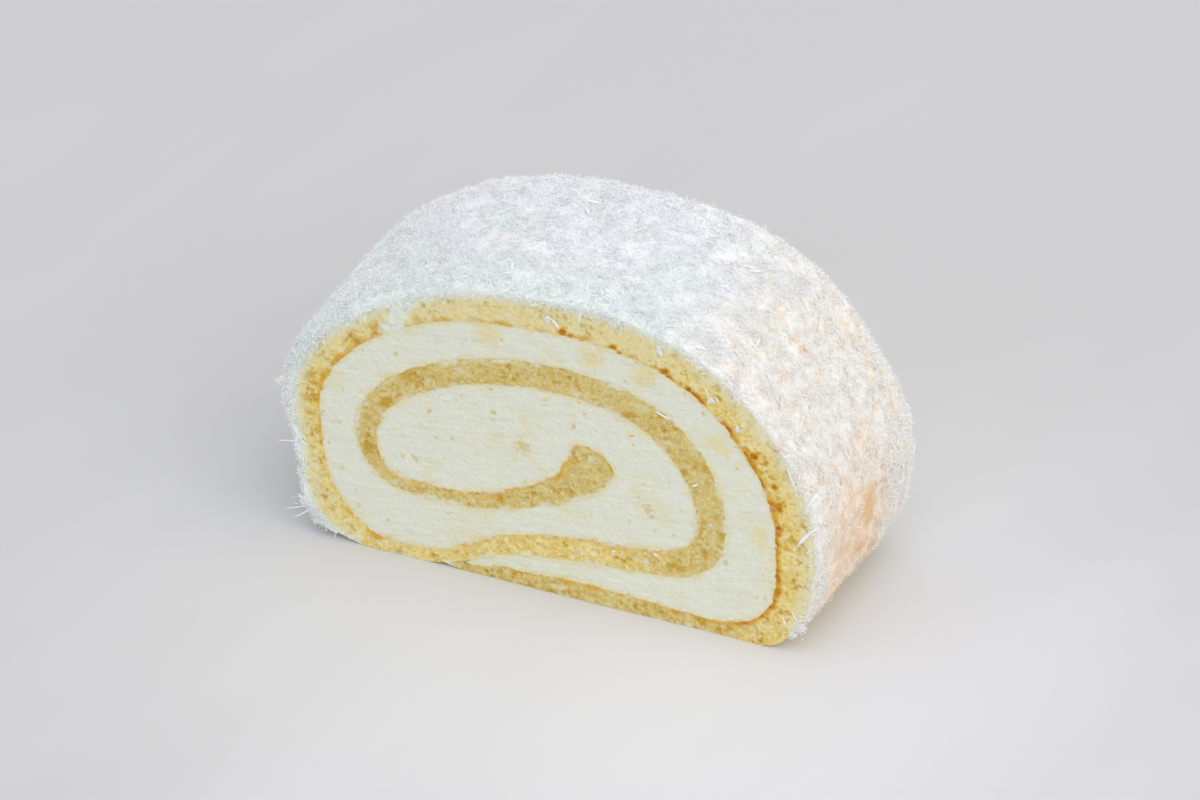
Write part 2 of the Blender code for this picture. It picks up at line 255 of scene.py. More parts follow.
def fine_path():
    """The whole path as closely spaced stations, each with its distance along the sponge."""
    rows = [row for a, b in zip(PATH, PATH[1:]) for row in bend_points(a, b)]
    last = PATH[-1]
    end = Vector((last.x, last.z)) * MM
    rows.append((end, heading_vector(last.heading), last.cream_side * MM, last.skin_side * MM))
    stations, along, before = [], 0.0, rows[0][0]
    for place, heading, cream, skin in rows:
        along += (place - before).length
        before = place
        stations.append(Station(along, place, heading, cream, skin))
    return stations


def station_at(path, along):
    """The station at a distance along the sponge, between the two nearest ones."""
    low, high = 0, len(path) - 1
    while high - low > 1:
        middle = (low + high) // 2
        if path[middle].along <= along:
            low = middle
        else:
            high = middle
    a, b = path[low], path[high]
    t = min(1.0, max(0.0, (along - a.along) / (b.along - a.along)))
    return Station(
        along,
        a.place.lerp(b.place, t),
        a.heading.lerp(b.heading, t).normalized(),
        a.cream_side + (b.cream_side - a.cream_side) * t,
        a.skin_side + (b.skin_side - a.skin_side) * t,
    )


def even_stations(path, start, end, step):
    count = max(2, round((end - start) / step))
    return [station_at(path, start + (end - start) * i / count) for i in range(count + 1)]


def left_of(heading):
    return Vector((-heading.y, heading.x))


def cream_edge(station, clearance=0.0):
    return station.place + left_of(station.heading) * (station.cream_side + clearance)


def skin_edge(station, clearance=0.0):
    place = station.place - left_of(station.heading) * (station.skin_side + clearance)
    return Vector((place.x, max(0.0, place.y)))


END_WIDTH = 1.04  # of the cap of the sponge's inner end, as a share of half the sponge's thickness there
END_REACH = 0.62


def inner_end_cap(station, clearance=0.0):
    """Points round the end of the sponge at the heart, from the cream side to the skin side."""
    side = left_of(station.heading)
    half = (station.cream_side + station.skin_side) / 2 + clearance
    middle = station.place + side * (station.cream_side - station.skin_side) / 2
    for degrees in range(80, -81, -5):
        angle = math.radians(degrees)
        across = side * half * math.sin(angle) * END_WIDTH
        out = station.heading * END_REACH * half * math.cos(angle)
        yield middle + across + out


def wedge_roof_over(path, x):
    """The distance along the path where the second turn is above a place on the tucked end."""
    low, high = WEDGE_ROOF
    return min((s for s in path if low < s.along < high), key=lambda s: abs(skin_edge(s).x - x)).along


def tucked_end(path, step, clearance):
    """The top of the tucked end, from its feather edge under the second turn to where the cream begins."""
    start = wedge_roof_over(path, TUCK_EDGE)
    end = wedge_roof_over(path, cream_edge(path[0]).x)
    return [skin_edge(s, clearance) for s in even_stations(path, start, end, step)]


def sponge_outline(path, step):
    stations = even_stations(path, 0, path[-1].along, step)
    cream = [cream_edge(s) for s in stations]
    skin = [skin_edge(s) for s in reversed(stations)]
    return tucked_end(path, step, 0.08 * MM) + cream + list(inner_end_cap(stations[-1])) + skin


def cream_outline(path, step, lap):
    """The channel between the turns, lapping a little way into the sponge all round."""
    tip_floor = cream_edge(station_at(path, WEDGE_TIP))
    tip_roof = skin_edge(station_at(path, wedge_roof_over(path, tip_floor.x)))
    out = even_stations(path, WEDGE_START, path[-1].along, step)
    back = even_stations(path, wedge_roof_over(path, cream_edge(out[0]).x), path[-1].along, step)
    outward = [cream_edge(s, -lap) for s in out]
    homeward = [skin_edge(s, -lap) for s in reversed(back)]
    return [tip_floor.lerp(tip_roof, 0.5)] + outward + list(inner_end_cap(out[-1], -lap)) + homeward


def coat_thickness(along):
    """Between the two places of the COAT table on either side."""
    for a, b in zip(COAT, COAT[1:]):
        if along <= b.along * MM:
            t = max(0.0, (along / MM - a.along) / (b.along - a.along))
            return (a.thick + (b.thick - a.thick) * smooth(t)) * MM
    return COAT[-1].thick * MM


def wander(place, size, channel):
    """Smooth noise from -1 to 1, with features of the given size."""
    return noise.noise(place / size + Vector((17.3 * channel, 5.1, -9.7)))


def sag(place):
    """How far a point of a true extrusion moves in the hand-made roll. The base stays flat on the board."""
    free = smooth(min(1.0, max(0.0, place.z / SAG_FREE_HEIGHT)))
    cut = CUT_WAVE * wander(place, SAG_SIZE, 3)
    across = SAG * wander(place, SAG_SIZE, 1) * free
    up = SAG * wander(place, SAG_SIZE, 2) * free
    return Vector((across, cut, up))


def drift(flat, size, channel, back=False):
    """The same noise over the points of a cut face, as an array."""
    depth = 7.0 * size if back else 0.0
    return np.array([wander(Vector((x, depth, z)), size, channel) for x, z in flat])


# Cut faces

def tidy_outline(outline, spacing):
    """The outline anticlockwise, with points at even spacing."""
    ring = np.array([tuple(p) for p in outline])
    loop = np.vstack([ring, ring[:1]])
    lengths = np.hypot(*np.diff(loop, axis=0).T)
    reached = np.concatenate([[0.0], np.cumsum(lengths)])
    wanted = np.linspace(0, reached[-1], round(reached[-1] / spacing), endpoint=False)
    even = np.column_stack([np.interp(wanted, reached, loop[:, k]) for k in (0, 1)])
    area = np.sum(even[:, 0] * np.roll(even[:, 1], -1) - np.roll(even[:, 0], -1) * even[:, 1])
    return even if area > 0 else even[::-1]


def inside(points, ring):
    """Which points lie inside the ring, by counting the edges to one side of each."""
    within = np.zeros(len(points), bool)
    for a, b in zip(ring, np.roll(ring, -1, axis=0)):
        spans = (a[1] > points[:, 1]) != (b[1] > points[:, 1])
        reach = a[0] + (points[:, 1] - a[1]) * (b[0] - a[0]) / ((b[1] - a[1]) or 1e-12)
        within ^= spans & (points[:, 0] < reach)
    return within


def tree_of(points):
    tree = kdtree.KDTree(len(points))
    for index, point in enumerate(points):
        tree.insert((point[0], point[1], 0), index)
    tree.balance()
    return tree


def fill_points(ring, spacing, draw):
    """Loosely hexagonal points inside the ring, none of them close to it."""
    low, high = ring.min(0), ring.max(0)
    row_height = spacing * math.sqrt(3) / 2
    rows = np.arange(low[1], high[1], row_height)
    columns = np.arange(low[0], high[0], spacing)
    grid = np.array([(x + (r % 2) * spacing / 2, z) for r, z in enumerate(rows) for x in columns])
    grid += draw.uniform(-0.22, 0.22, grid.shape) * spacing
    grid = grid[inside(grid, ring)]
    edge = tree_of(ring)
    return np.array([p for p in grid if edge.find((p[0], p[1], 0))[2] > 0.62 * spacing])


def cut_face(ring, spacing, draw):
    """Points of a cut face, the ring's own first, and the triangles between them."""
    points = np.vstack([ring, fill_points(ring, spacing, draw)])
    around = [(i, (i + 1) % len(ring)) for i in range(len(ring))]
    filled = geometry.delaunay_2d_cdt([Vector(p) for p in points], around, [], 1, 1e-9)
    places, triangles, origins = filled[0], filled[2], filled[3]
    if len(places) != len(points):
        raise RuntimeError("the outline of a cut face crosses itself")
    source = [found[0] for found in origins]
    return points, [tuple(source[i] for i in triangle) for triangle in triangles]


class Slab:
    """A slice of an outline with fine cut faces, as arrays of points to be moved before the mesh is made."""

    def __init__(self, outline, spacing, rings, seed):
        draw = np.random.default_rng(seed)
        self.ring = tidy_outline(outline, spacing)
        self.flat, self.triangles = cut_face(self.ring, spacing, draw)
        self.count, self.edge, self.rings = len(self.flat), len(self.ring), rings
        depths = [SLICE_DEPTH * ((r + 1) / (rings + 1) - 0.5) for r in range(rings)]
        faces = [self.at_depth(self.flat, -SLICE_DEPTH / 2), self.at_depth(self.flat, SLICE_DEPTH / 2)]
        walls = [self.at_depth(self.ring, depth) for depth in depths]
        self.points = np.vstack(faces + walls)
        self.marks = {}

    @staticmethod
    def at_depth(flat, depth):
        return np.column_stack([flat[:, 0], np.full(len(flat), depth), flat[:, 1]])

    def face_range(self, back):
        """The points of the shown or the hidden cut face."""
        return slice(self.count, 2 * self.count) if back else slice(0, self.count)

    def mark(self, name):
        """An attribute of the points, from 0 to 1."""
        return self.marks.setdefault(name, np.zeros(len(self.points)))

    def settle(self):
        """Moves every point by the sag of the roll."""
        self.points += np.array([tuple(sag(Vector(p))) for p in self.points])

    def faces(self):
        front = self.triangles
        back = [tuple(self.count + i for i in reversed(triangle)) for triangle in front]
        loops = [range(self.edge)]
        for start in range(2 * self.count, 2 * self.count + self.rings * self.edge, self.edge):
            loops.append(range(start, start + self.edge))
        loops.append(range(self.count, self.count + self.edge))
        walls = []
        for near, far in zip(loops, loops[1:]):
            for i in range(self.edge):
                j = (i + 1) % self.edge
                walls.append((near[i], far[i], far[j], near[j]))
        return front + back + walls

    def piece(self, name, material):
        marks = {mark: np.clip(values, 0, 1) for mark, values in self.marks.items()}
        mesh = mesh_of(name, self.points, self.faces(), marks)
        mesh.set_sharp_from_angle(angle=SHARP_ANGLE)
        mesh.materials.append(material)
        return add_object(name, mesh)


def mesh_of(name, points, faces, marks):
    mesh = bpy.data.meshes.new(name)
    mesh.from_pydata([tuple(p) for p in points], [], faces)
    for mark, values in marks.items():
        attribute = mesh.attributes.new(mark, "FLOAT", "POINT")
        attribute.data.foreach_set("value", np.array(values, np.float32))
    mesh.shade_smooth()
    return mesh


def face_outwards(mesh):
    shape = bmesh.new()
    shape.from_mesh(mesh)
    bmesh.ops.recalc_face_normals(shape, faces=shape.faces)
    shape.to_mesh(mesh)
    shape.free()


def add_object(name, data):
    made = bpy.data.objects.new(name, data)
    bpy.context.scene.collection.objects.link(made)
    return made


# Node trees

class Value:
    """A socket of a node tree. A sum on values adds the Math nodes that work it out."""

    def __init__(self, tree, socket):
        self.tree = tree
        self.socket = socket

    def sum(self, operation, first, second):
        return self.tree.add("ShaderNodeMath", {"operation": operation}, {0: first, 1: second})

    def __add__(self, other):
        return self.sum("ADD", self, other)

    def __radd__(self, other):
        return self.sum("ADD", other, self)

    def __sub__(self, other):
        return self.sum("SUBTRACT", self, other)

    def __rsub__(self, other):
        return self.sum("SUBTRACT", other, self)

    def __mul__(self, other):
        return self.sum("MULTIPLY", self, other)

    def __rmul__(self, other):
        return self.sum("MULTIPLY", other, self)

    def between(self, low, high):
        """0 up to low, 1 from high, and smooth between."""
        values = {"Value": self, "From Min": low, "From Max": high}
        return self.tree.add("ShaderNodeMapRange", {"interpolation_type": "SMOOTHSTEP"}, values)


class Tree:
    """A node tree. Each node is added with its settings first, then the values or links of its sockets."""

    def __init__(self, node_tree):
        self.nodes = node_tree.nodes
        self.links = node_tree.links

    @staticmethod
    def socket(sockets, key):
        if isinstance(key, int):
            return sockets[key]
        return next((s for s in sockets if s.identifier == key), None) or sockets[key]

    def add(self, kind, settings=None, values=None, output=0):
        node = self.nodes.new(kind)
        for name, setting in (settings or {}).items():
            setattr(node, name, setting)
        for key, value in (values or {}).items():
            socket = self.socket(node.inputs, key)
            if isinstance(value, Value):
                self.links.new(value.socket, socket)
            else:
                socket.default_value = value
        return Value(self, self.socket(node.outputs, output)) if node.outputs else node

    def mix(self, factor, first, second):
        """One colour or the other, by the factor."""
        first, second = (c if isinstance(c, Value) else (*c, 1.0) for c in (first, second))
        values = {"Factor_Float": factor, "A_Color": first, "B_Color": second}
        return self.add("ShaderNodeMix", {"data_type": "RGBA"}, values, "Result_Color")

    def attribute(self, name):
        return self.add("ShaderNodeAttribute", {"attribute_name": name}, output="Fac")

    def place(self, stretch=(1, 1, 1), turn=(0, 0, 0)):
        """Object coordinates in metres, turned and then stretched."""
        coordinates = self.add("ShaderNodeTexCoord", output="Object")
        values = {"Vector": coordinates, "Rotation": turn, "Scale": stretch}
        return self.add("ShaderNodeMapping", {"vector_type": "TEXTURE"}, values)

    def grain(self, size, place, detail, roughness=0.5):
        """Noise from 0 to 1 with features of the given size."""
        values = {"Vector": place, "Scale": 1 / size, "Detail": detail, "Roughness": roughness}
        return self.add("ShaderNodeTexNoise", {}, values)

    def cells(self, size, place):
        """Distance to the nearest of scattered points, in cell sizes."""
        return self.add("ShaderNodeTexVoronoi", {}, {"Vector": place, "Scale": 1 / size})

    def bump(self, height, distance, strength):
        values = {"Height": height, "Distance": distance, "Strength": strength}
        return self.add("ShaderNodeBump", {}, values)

    def random_vector(self, seed, low, high):
        """A random vector between two others, for each thing that is scattered."""
        values = {"Min": low, "Max": high, "Seed": seed}
        return self.add("FunctionNodeRandomValue", {"data_type": "FLOAT_VECTOR"}, values, "Value")

    def random_number(self, seed, high):
        """A random number from 0 to high, for each thing that is scattered."""
        values = {"Min_001": 0.0, "Max_001": high, "Seed": seed}
        return self.add("FunctionNodeRandomValue", {"data_type": "FLOAT"}, values, "Value_001")


def new_material(name, roughness, soft, reach, radius):
    """A material, its tree and its shader, which scatters the soft share of the light below the surface."""
    material = bpy.data.materials.new(name)
    material.use_nodes = True
    shader = material.node_tree.nodes["Principled BSDF"]
    shader.inputs["Roughness"].default_value = roughness
    shader.inputs["Specular IOR Level"].default_value = 0.35
    shader.inputs["Subsurface Weight"].default_value = soft
    shader.inputs["Subsurface Radius"].default_value = radius
    shader.inputs["Subsurface Scale"].default_value = reach
    return material, Tree(material.node_tree), shader


def finish_material(tree, shader, colour, bump):
    tree.links.new(colour.socket, shader.inputs["Base Color"])
    tree.links.new(bump.socket, shader.inputs["Normal"])


# Sponge

def sheet_places(path, flat):
    """How far along the sponge sheet each point lies, and how far in from its cream side and its skin."""
    middles = np.array([tuple(s.place) for s in path])
    sides = np.array([tuple(left_of(s.heading)) for s in path])
    reaches = np.array([(s.along, s.cream_side, s.skin_side) for s in path])
    nearest = np.concatenate([
        np.argmin(((part[:, None] - middles[None]) ** 2).sum(2), axis=1)
        for part in np.array_split(flat, len(flat) // 2000 + 1)
    ])
    offset = ((flat - middles[nearest]) * sides[nearest]).sum(1)
    along, cream_side, skin_side = reaches[nearest].T
    return along, cream_side - offset, skin_side + offset


# How strongly the browned crust shows on the cream side of the sheet
Crust = namedtuple("Crust", "along shows")
CRUST = (
    Crust(0, 0.15),
    Crust(25, 0.3),
    Crust(45, 0.4),
    Crust(58, 0.85),  # lower right corner
    Crust(66, 0.95),
    Crust(84, 1.0),  # right side
    Crust(106, 0.9),
    Crust(118, 0.35),
    Crust(128, 0.45),  # crown
    Crust(160, 0.3),
    Crust(190, 0.4),
    Crust(206, 0.6),  # left side
    Crust(222, 0.35),
    Crust(240, 0.35),
    Crust(262, 0.2),
    Crust(300, 0.45),
    Crust(312, 0.3),
    Crust(345, 0.15),
    Crust(400, 0.15),
    Crust(440, 0.3),
    Crust(472, 0.6),  # heart
)
SMEAR_PLACE = Vector((-31.2, 54.6)) * MM  # cream dragged over the sponge by the knife, at the upper left
SMEAR_HALF_WIDTH = 2.3 * MM
SMEAR_LEAN = 0.35  # how far it goes to the right for each step up
SMEAR_ENDS = (5 * MM, 6 * MM)  # above and below its middle, where it fades out

# Stretches of the sponge, by the distance along it
OUTER_TURN = (66 * MM, 250 * MM)  # its skin is the outside of the roll
CROWN_RISE = (122 * MM, 135 * MM)  # the crown grows paler
CROWN_FALL = (185 * MM, 198 * MM)  # and is over
INNER_FROM = (295 * MM, 325 * MM)  # the inner turn begins, which is in shade
BOARD_END = (50 * MM, 64 * MM)  # the stretch along the board ends, which is in shade too
LAPPED_FROM = 255 * MM  # the cream laps over both its edges from here on
FROST_FADE = (25 * MM, 45 * MM)  # across the face: the frosting of the skin fades towards the right

# Places on the shown face where the crust is darkest
Spot = namedtuple("Spot", "x z radius")
CRUST_SPOTS = (
    Spot(2.5, 58.9, 0.9),
    Spot(4.1, 58.7, 0.7),
    Spot(12.3, 57.9, 0.9),
    Spot(13.9, 57.3, 0.7),
    Spot(22.6, 55.9, 0.9),
    Spot(23.5, 54.7, 0.9),
    Spot(27.2, 52.9, 0.9),
    Spot(28.6, 51.8, 1.3),
    Spot(29.7, 50.7, 1.2),
    Spot(34.9, 46.2, 0.8),
    Spot(40.4, 41.8, 0.9),
    Spot(44.4, 36.2, 0.7),
    Spot(45.2, 31.8, 1.0),
    Spot(45.5, 26.7, 0.9),
    Spot(45.4, 16.6, 0.6),
    Spot(44.9, 11.0, 0.5),
)

# Places on the shown face where the crumb is torn open and golden
TORN_SPOTS = (
    Spot(-27.5, 54.1, 0.9),
    Spot(-35.6, 50.8, 1.3),
    Spot(-36.6, 50.4, 1.0),
    Spot(-39.9, 46.7, 1.0),
    Spot(-41.0, 48.2, 0.8),
    Spot(-49.0, 41.0, 0.9),
    Spot(-47.6, 43.2, 1.0),
    Spot(-49.3, 36.0, 0.9),
    Spot(-51.0, 30.5, 0.8),
    Spot(-50.3, 27.3, 0.8),
    Spot(-29.4, 41.6, 1.4),
    Spot(-31.2, 36.3, 0.8),
    Spot(-34.0, 34.1, 1.3),
    Spot(-37.6, 22.8, 1.1),
    Spot(15.9, 44.4, 1.1),
    Spot(26.0, 34.5, 1.0),
    Spot(30.7, 36.3, 0.8),
    Spot(30.6, 24.1, 0.8),
    Spot(34.5, 22.4, 0.9),
    Spot(25.3, 12.9, 1.2),
    Spot(30.9, 17.3, 0.9),
    Spot(40.0, 49.0, 0.8),
    Spot(46.5, 38.7, 0.9),
    Spot(48.4, 25.3, 0.9),
    Spot(47.1, 23.4, 0.8),
)

# Places on the shown face where pits crowd together
Cluster = namedtuple("Cluster", "x z spread pits")
CLUSTERS = (
    Cluster(-28.5, 41.8, 1.3, 9),
    Cluster(-34.1, 33.6, 1.5, 8),
    Cluster(-37.8, 22.7, 1.2, 7),
    Cluster(-39.8, 46.9, 1.7, 10),
    Cluster(-34.9, 50.8, 1.3, 7),
    Cluster(4.5, 32.2, 1.2, 6),
    Cluster(12.6, 31.3, 1.3, 9),
    Cluster(-49.5, 34.0, 1.8, 10),
    Cluster(46.5, 33.0, 1.5, 8),
    Cluster(49.6, 30.0, 2.0, 12),
    Cluster(50.2, 24.0, 1.8, 12),
    Cluster(49.4, 15.5, 1.8, 10),
    Cluster(47.0, 7.5, 1.6, 9),
    Cluster(27.0, 52.5, 1.6, 9),
    Cluster(-12.0, 61.3, 1.6, 9),
)


def roughen_outline(outline, amount):
    """Breaks the smooth edge of the sponge into crumb, but for the narrow slit over the tucked end."""
    rough = []
    for point, after in zip(outline, outline[1:] + outline[:1]):
        towards = after - point
        if towards.length == 0 or point.y <= 0.2 * MM:
            rough.append(point)
            continue
        place = Vector((point.x, 0, point.y))
        shift = wander(place, 2.6 * MM, 5) + 0.6 * wander(place, 0.9 * MM, 6)
        shift *= amount * ramp((point - SLIT_PLACE).length, 5 * MM, 9 * MM)
        moved = point + left_of(towards.normalized()) * shift
        rough.append(Vector((moved.x, max(0.0, moved.y))))
    return rough


def draw_pits(look, path, back, draw):
    """Place, radius and depth of each pit: in clusters, some of them at named places on the shown face."""
    clusters = [] if back else [(Vector((c.x, c.z)) * MM, c.spread * MM, c.pits) for c in CLUSTERS]
    for _ in range(look.clusters):
        station = station_at(path, draw.uniform(0, path[-1].along))
        across = draw.uniform(-station.skin_side, station.cream_side)
        if station.along > COAT_TO and draw.random() < 0.6:
            continue
        middle = station.place + left_of(station.heading) * across
        clusters.append((middle, draw.uniform(0.5, 1.5) * MM, draw.randint(1, 6)))
    pits = []
    for middle, spread, count in clusters:
        for _ in range(count):
            place = middle + Vector((draw.gauss(0, spread), draw.gauss(0, spread))) * 0.6
            radius = (0.14 + 0.42 * draw.random() ** 1.5) * MM
            pits.append((place, radius, look.pit_depth * draw.uniform(0.5, 1.0) * radius / (0.5 * MM)))
    return pits


def carve(slab, back, hollows, mark, ragged):
    """Sinks hollows with ragged rims in a cut face. Their inside is marked, for painted shade."""
    face = slab.face_range(back)
    inward = -1 if back else 1
    depth = np.zeros(slab.count)
    inner = np.zeros(slab.count)
    near = tree_of(slab.flat)
    for place, radius, sink in hollows:
        for found, index, distance in near.find_range((place.x, place.y, 0), radius * 1.7):
            uneven = 1 + ragged * wander(Vector((found.x, place.x, found.y)), 0.55 * MM, 7)
            share = max(0.0, 1 - (distance * uneven / (radius * 1.2)) ** 2)
            depth[index] = max(depth[index], sink * share)
            inner[index] = max(inner[index], min(1.0, 1.25 * share))
    slab.points[face, 1] += inward * depth
    slab.mark(mark)[face] = np.maximum(slab.mark(mark)[face], inner)


def raise_crumb(slab, back, height, size, channel):
    """Torn crumb: low ridges at two sizes, standing out of a cut face. The dips between them are marked, for
    painted shade in the dips and a painted highlight on the ridges.
    """
    face = slab.face_range(back)
    outward = 1 if back else -1
    broad = drift(slab.flat, size, channel, back)
    ridged = 1 - 2 * np.abs(drift(slab.flat, size * 0.6, channel + 1, back))
    ridge = 0.6 * broad + 0.4 * ridged
    slab.points[face, 1] += outward * height * ridge
    slab.mark("dip")[face] = 0.5 - 0.5 * ridge


def smear_mask(flat):
    """Where the knife has dragged cream over the sponge."""
    leaning = flat[:, 0] - SMEAR_PLACE.x - SMEAR_LEAN * (flat[:, 1] - SMEAR_PLACE.y)
    ragged = 1.0 * MM * drift(flat, 2.2 * MM, 12) + 0.6 * MM * drift(flat, 0.8 * MM, 13)
    across = 1 - ramp(np.abs(leaning + ragged), SMEAR_HALF_WIDTH - 1.0 * MM, SMEAR_HALF_WIDTH + 0.6 * MM)
    up = 1 - ramp(np.abs(flat[:, 1] - SMEAR_PLACE.y), *SMEAR_ENDS)
    return across * up


def spots(flat, places, ragged):
    """How near each point is to the nearest of some ragged round spots, from 0 to 1 in its middle."""
    nearness = np.zeros(len(flat))
    for spot in places:
        reach = np.hypot(*(flat - (spot.x * MM, spot.z * MM)).T) / (spot.radius * MM)
        nearness = np.maximum(nearness, 1 - ramp(reach + 0.5 * ragged, 0.5, 1.5))
    return nearness


def mark_sponge(slab, path, back):
    """Crust along the cream side, paleness towards the coat, and smears of cream over the edges."""
    face = slab.face_range(back)
    along, from_cream, from_skin = sheet_places(path, slab.flat)
    patchy = drift(slab.flat, 4.5 * MM, 9, back)
    fine = drift(slab.flat, 1.3 * MM, 11, back)
    shows = np.interp(along / MM, *zip(*CRUST))
    shows = np.clip(shows + 0.9 * patchy * (1.2 - shows), 0, 1)
    thick = (0.42 + 0.4 * patchy + 0.35 * fine) * shows * MM
    crust = shows * (1 - ramp(from_cream, thick, thick + 1.3 * MM)) * (0.85 + 0.4 * fine)
    slab.mark("crust")[face] = crust if back else np.maximum(crust, spots(slab.flat, CRUST_SPOTS, fine))
    if not back:
        slab.mark("hollow")[face] = 0.85 * spots(slab.flat, TORN_SPOTS, 1.6 * fine)
    outer = (along > OUTER_TURN[0]) & (along < OUTER_TURN[1])
    faded = 1 - ramp(from_skin + (1.1 * patchy + 0.6 * fine) * MM, 0.8 * MM, 4.4 * MM)
    crown = ramp(along, *CROWN_RISE) * (1 - ramp(along, *CROWN_FALL))
    slab.mark("pale")[face] = np.where(outer, np.maximum(faded, crown * (0.62 + 0.4 * patchy)), 0)
    slab.mark("inner")[face] = np.maximum(ramp(along, *INNER_FROM), 1 - ramp(along, *BOARD_END))
    streaks = drift(slab.flat * (1, 2.2), 3.4 * MM, 10, back)
    smear = 0.35 * ramp(streaks, 0.3, 0.65)
    edge = np.minimum(from_skin, from_cream)
    lapped = ramp(patchy + 0.5 * fine, -0.1, 0.45) * (1 - ramp(edge, 0.1 * MM, 1.1 * MM))
    smear = np.maximum(smear, np.where(along > LAPPED_FROM, 0.8 * lapped, 0))
    frosted = 0.95 * (1 - ramp(from_skin + (0.7 * patchy + 0.5 * fine) * MM, -0.2 * MM, 1.8 * MM))
    frosted *= 1 - 0.6 * ramp(slab.flat[:, 0], *FROST_FADE)
    smear = np.maximum(smear, np.where(outer, frosted, 0))
    slab.mark("smear")[face] = smear if back else np.maximum(smear, smear_mask(slab.flat))


def sponge_material(look, cream, coconut):
    material, tree, shader = new_material("baked_sponge_crumb", 0.9, 0.15, 0.8 * MM, (1.0, 0.7, 0.3))
    place = tree.place()
    dip = tree.attribute("dip")
    blotch = tree.grain(4.5 * MM, place, 3.0, 0.6).between(0.38, 0.62)
    fine = tree.grain(0.7 * MM, place, 5.0, 0.7)
    specks = tree.grain(1.1 * MM, tree.place((1, 1, 1), (0.4, 0.3, 0.2)), 4.0, 0.7).between(0.56, 0.68)
    # Denser crumb in random blotches, and painted shade in the dips between the raised ridges
    crumb = tree.mix(blotch * 0.45 + dip.between(0.4, 0.75) * 0.55, look.crumb_colour, look.dense_crumb_and_dip_shade_colour)
    crumb = tree.mix(fine.between(0.48, 0.62) * 0.6, crumb, look.dense_crumb_and_dip_shade_colour)
    # Painted highlight on the raised ridges, broken up by the fine grain
    crumb = tree.mix((1 - fine.between(0.34, 0.5)) * (1 - dip) * 1.2, crumb, look.ridge_highlight_colour)
    # Painted shade in pinholes finer than the mesh, which the bump also sinks, strongest in the dips
    crumb = tree.mix(specks * (0.1 + 0.8 * dip) * (0.35 + 0.65 * blotch), crumb, look.pit_shade_and_torn_gold_colour)
    pale = tree.attribute("pale")
    crumb = tree.mix(pale * 0.85, crumb, cream.butter_colour)
    crumb = tree.mix(tree.attribute("inner") * 0.19, crumb, look.shade_colour)
    # Painted shade inside the carved pits, and the golden colour of the torn spots
    hollow = tree.attribute("hollow") * (0.4 + 0.9 * fine)
    crumb = tree.mix(hollow * (1 - 0.6 * pale), crumb, look.pit_shade_and_torn_gold_colour)
    crust = tree.attribute("crust")
    crumb = tree.mix(crust.between(0.05, 0.5) * 0.9, crumb, look.gold_colour)
    crumb = tree.mix(crust.between(0.5, 1.0) * (0.45 + fine), crumb, look.crust_colour)
    crumb = tree.mix(crust.between(0.75, 1.0) * fine.between(0.5, 0.62) * 0.8, crumb, look.dark_colour)
    frost = tree.mix(0.5, coconut.mint_colour, cream.cream_colour)
    crumb = tree.mix(tree.attribute("smear") * (0.7 + 0.45 * fine), crumb, frost)
    bump = tree.bump(fine - specks * 0.5, 0.3 * MM, 0.9)
    finish_material(tree, shader, crumb, bump)
    return material


class SWISSROLL_OT_sponge(bpy.types.Operator):
    """Make the rolled sponge, with its pits, torn crumb and browned crust"""

    bl_idname = "swissroll.sponge"
    bl_label = "Sponge"

    def execute(self, context):
        look = context.scene.swiss_roll
        path = fine_path()
        outline = roughen_outline(sponge_outline(path, look.sponge.spacing), 0.3 * MM)
        slab = Slab(outline, look.sponge.spacing, 5, look.seed)
        for back in (False, True):
            mark_sponge(slab, path, back)
            raise_crumb(slab, back, look.sponge.crumb_height, 1.2 * MM, 14)
            pits = draw_pits(look.sponge, path, back, random.Random(look.seed + back))
            carve(slab, back, pits, "hollow", 0.9)
        slab.settle()
        piece = slab.piece("sponge_crumb", sponge_material(look.sponge, look.cream, look.coconut))
        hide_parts("sponge")
        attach(piece, "root")
        return {"FINISHED"}


# Cream

LAP = 0.15 * MM  # how far the cream reaches into the sponge
DRAG_TURN = math.radians(8)  # knife marks rise to the right
Bubble = namedtuple("Bubble", "x z radius depth")
BUBBLES = (
    Bubble(-6.1, 31.6, 1.4, 0.14),  # broad ring left of the heart
    Bubble(-28.3, 22.5, 0.6, 0.35),
    Bubble(19.3, 24.2, 0.8, 0.25),
    Bubble(20.1, 22.8, 0.6, 0.2),
    Bubble(4.4, 38.6, 0.5, 0.3),
    Bubble(-12.0, 37.5, 0.5, 0.3),
    Bubble(-25.1, 34.3, 0.4, 0.15),
    Bubble(-32.1, 45.4, 0.4, 0.15),
    Bubble(-23.8, 28.6, 0.3, 0.1),
    Bubble(-44.0, 27.0, 0.3, 0.1),
    Bubble(-42.8, 34.5, 0.35, 0.1),
    Bubble(-41.0, 12.0, 0.35, 0.1),
    Bubble(-43.7, 16.2, 0.35, 0.1),
    Bubble(-34.6, 7.2, 0.3, 0.1),
    Bubble(-21.2, 12.4, 0.35, 0.1),
    Bubble(18.4, 29.6, 0.4, 0.15),
    Bubble(28.1, 23.4, 0.35, 0.1),
)

SMUDGES = (  # sponge smeared into the cream of the shown face
    Spot(32.7, 42.3, 1.6),
    Spot(34.6, 41.0, 1.3),
    Spot(41.9, 24.8, 1.6),
    Spot(42.2, 22.6, 1.2),
    Spot(19.0, 54.0, 2.4),
    Spot(-12.5, 54.6, 2.6),
    Spot(8.0, 55.0, 2.6),
)


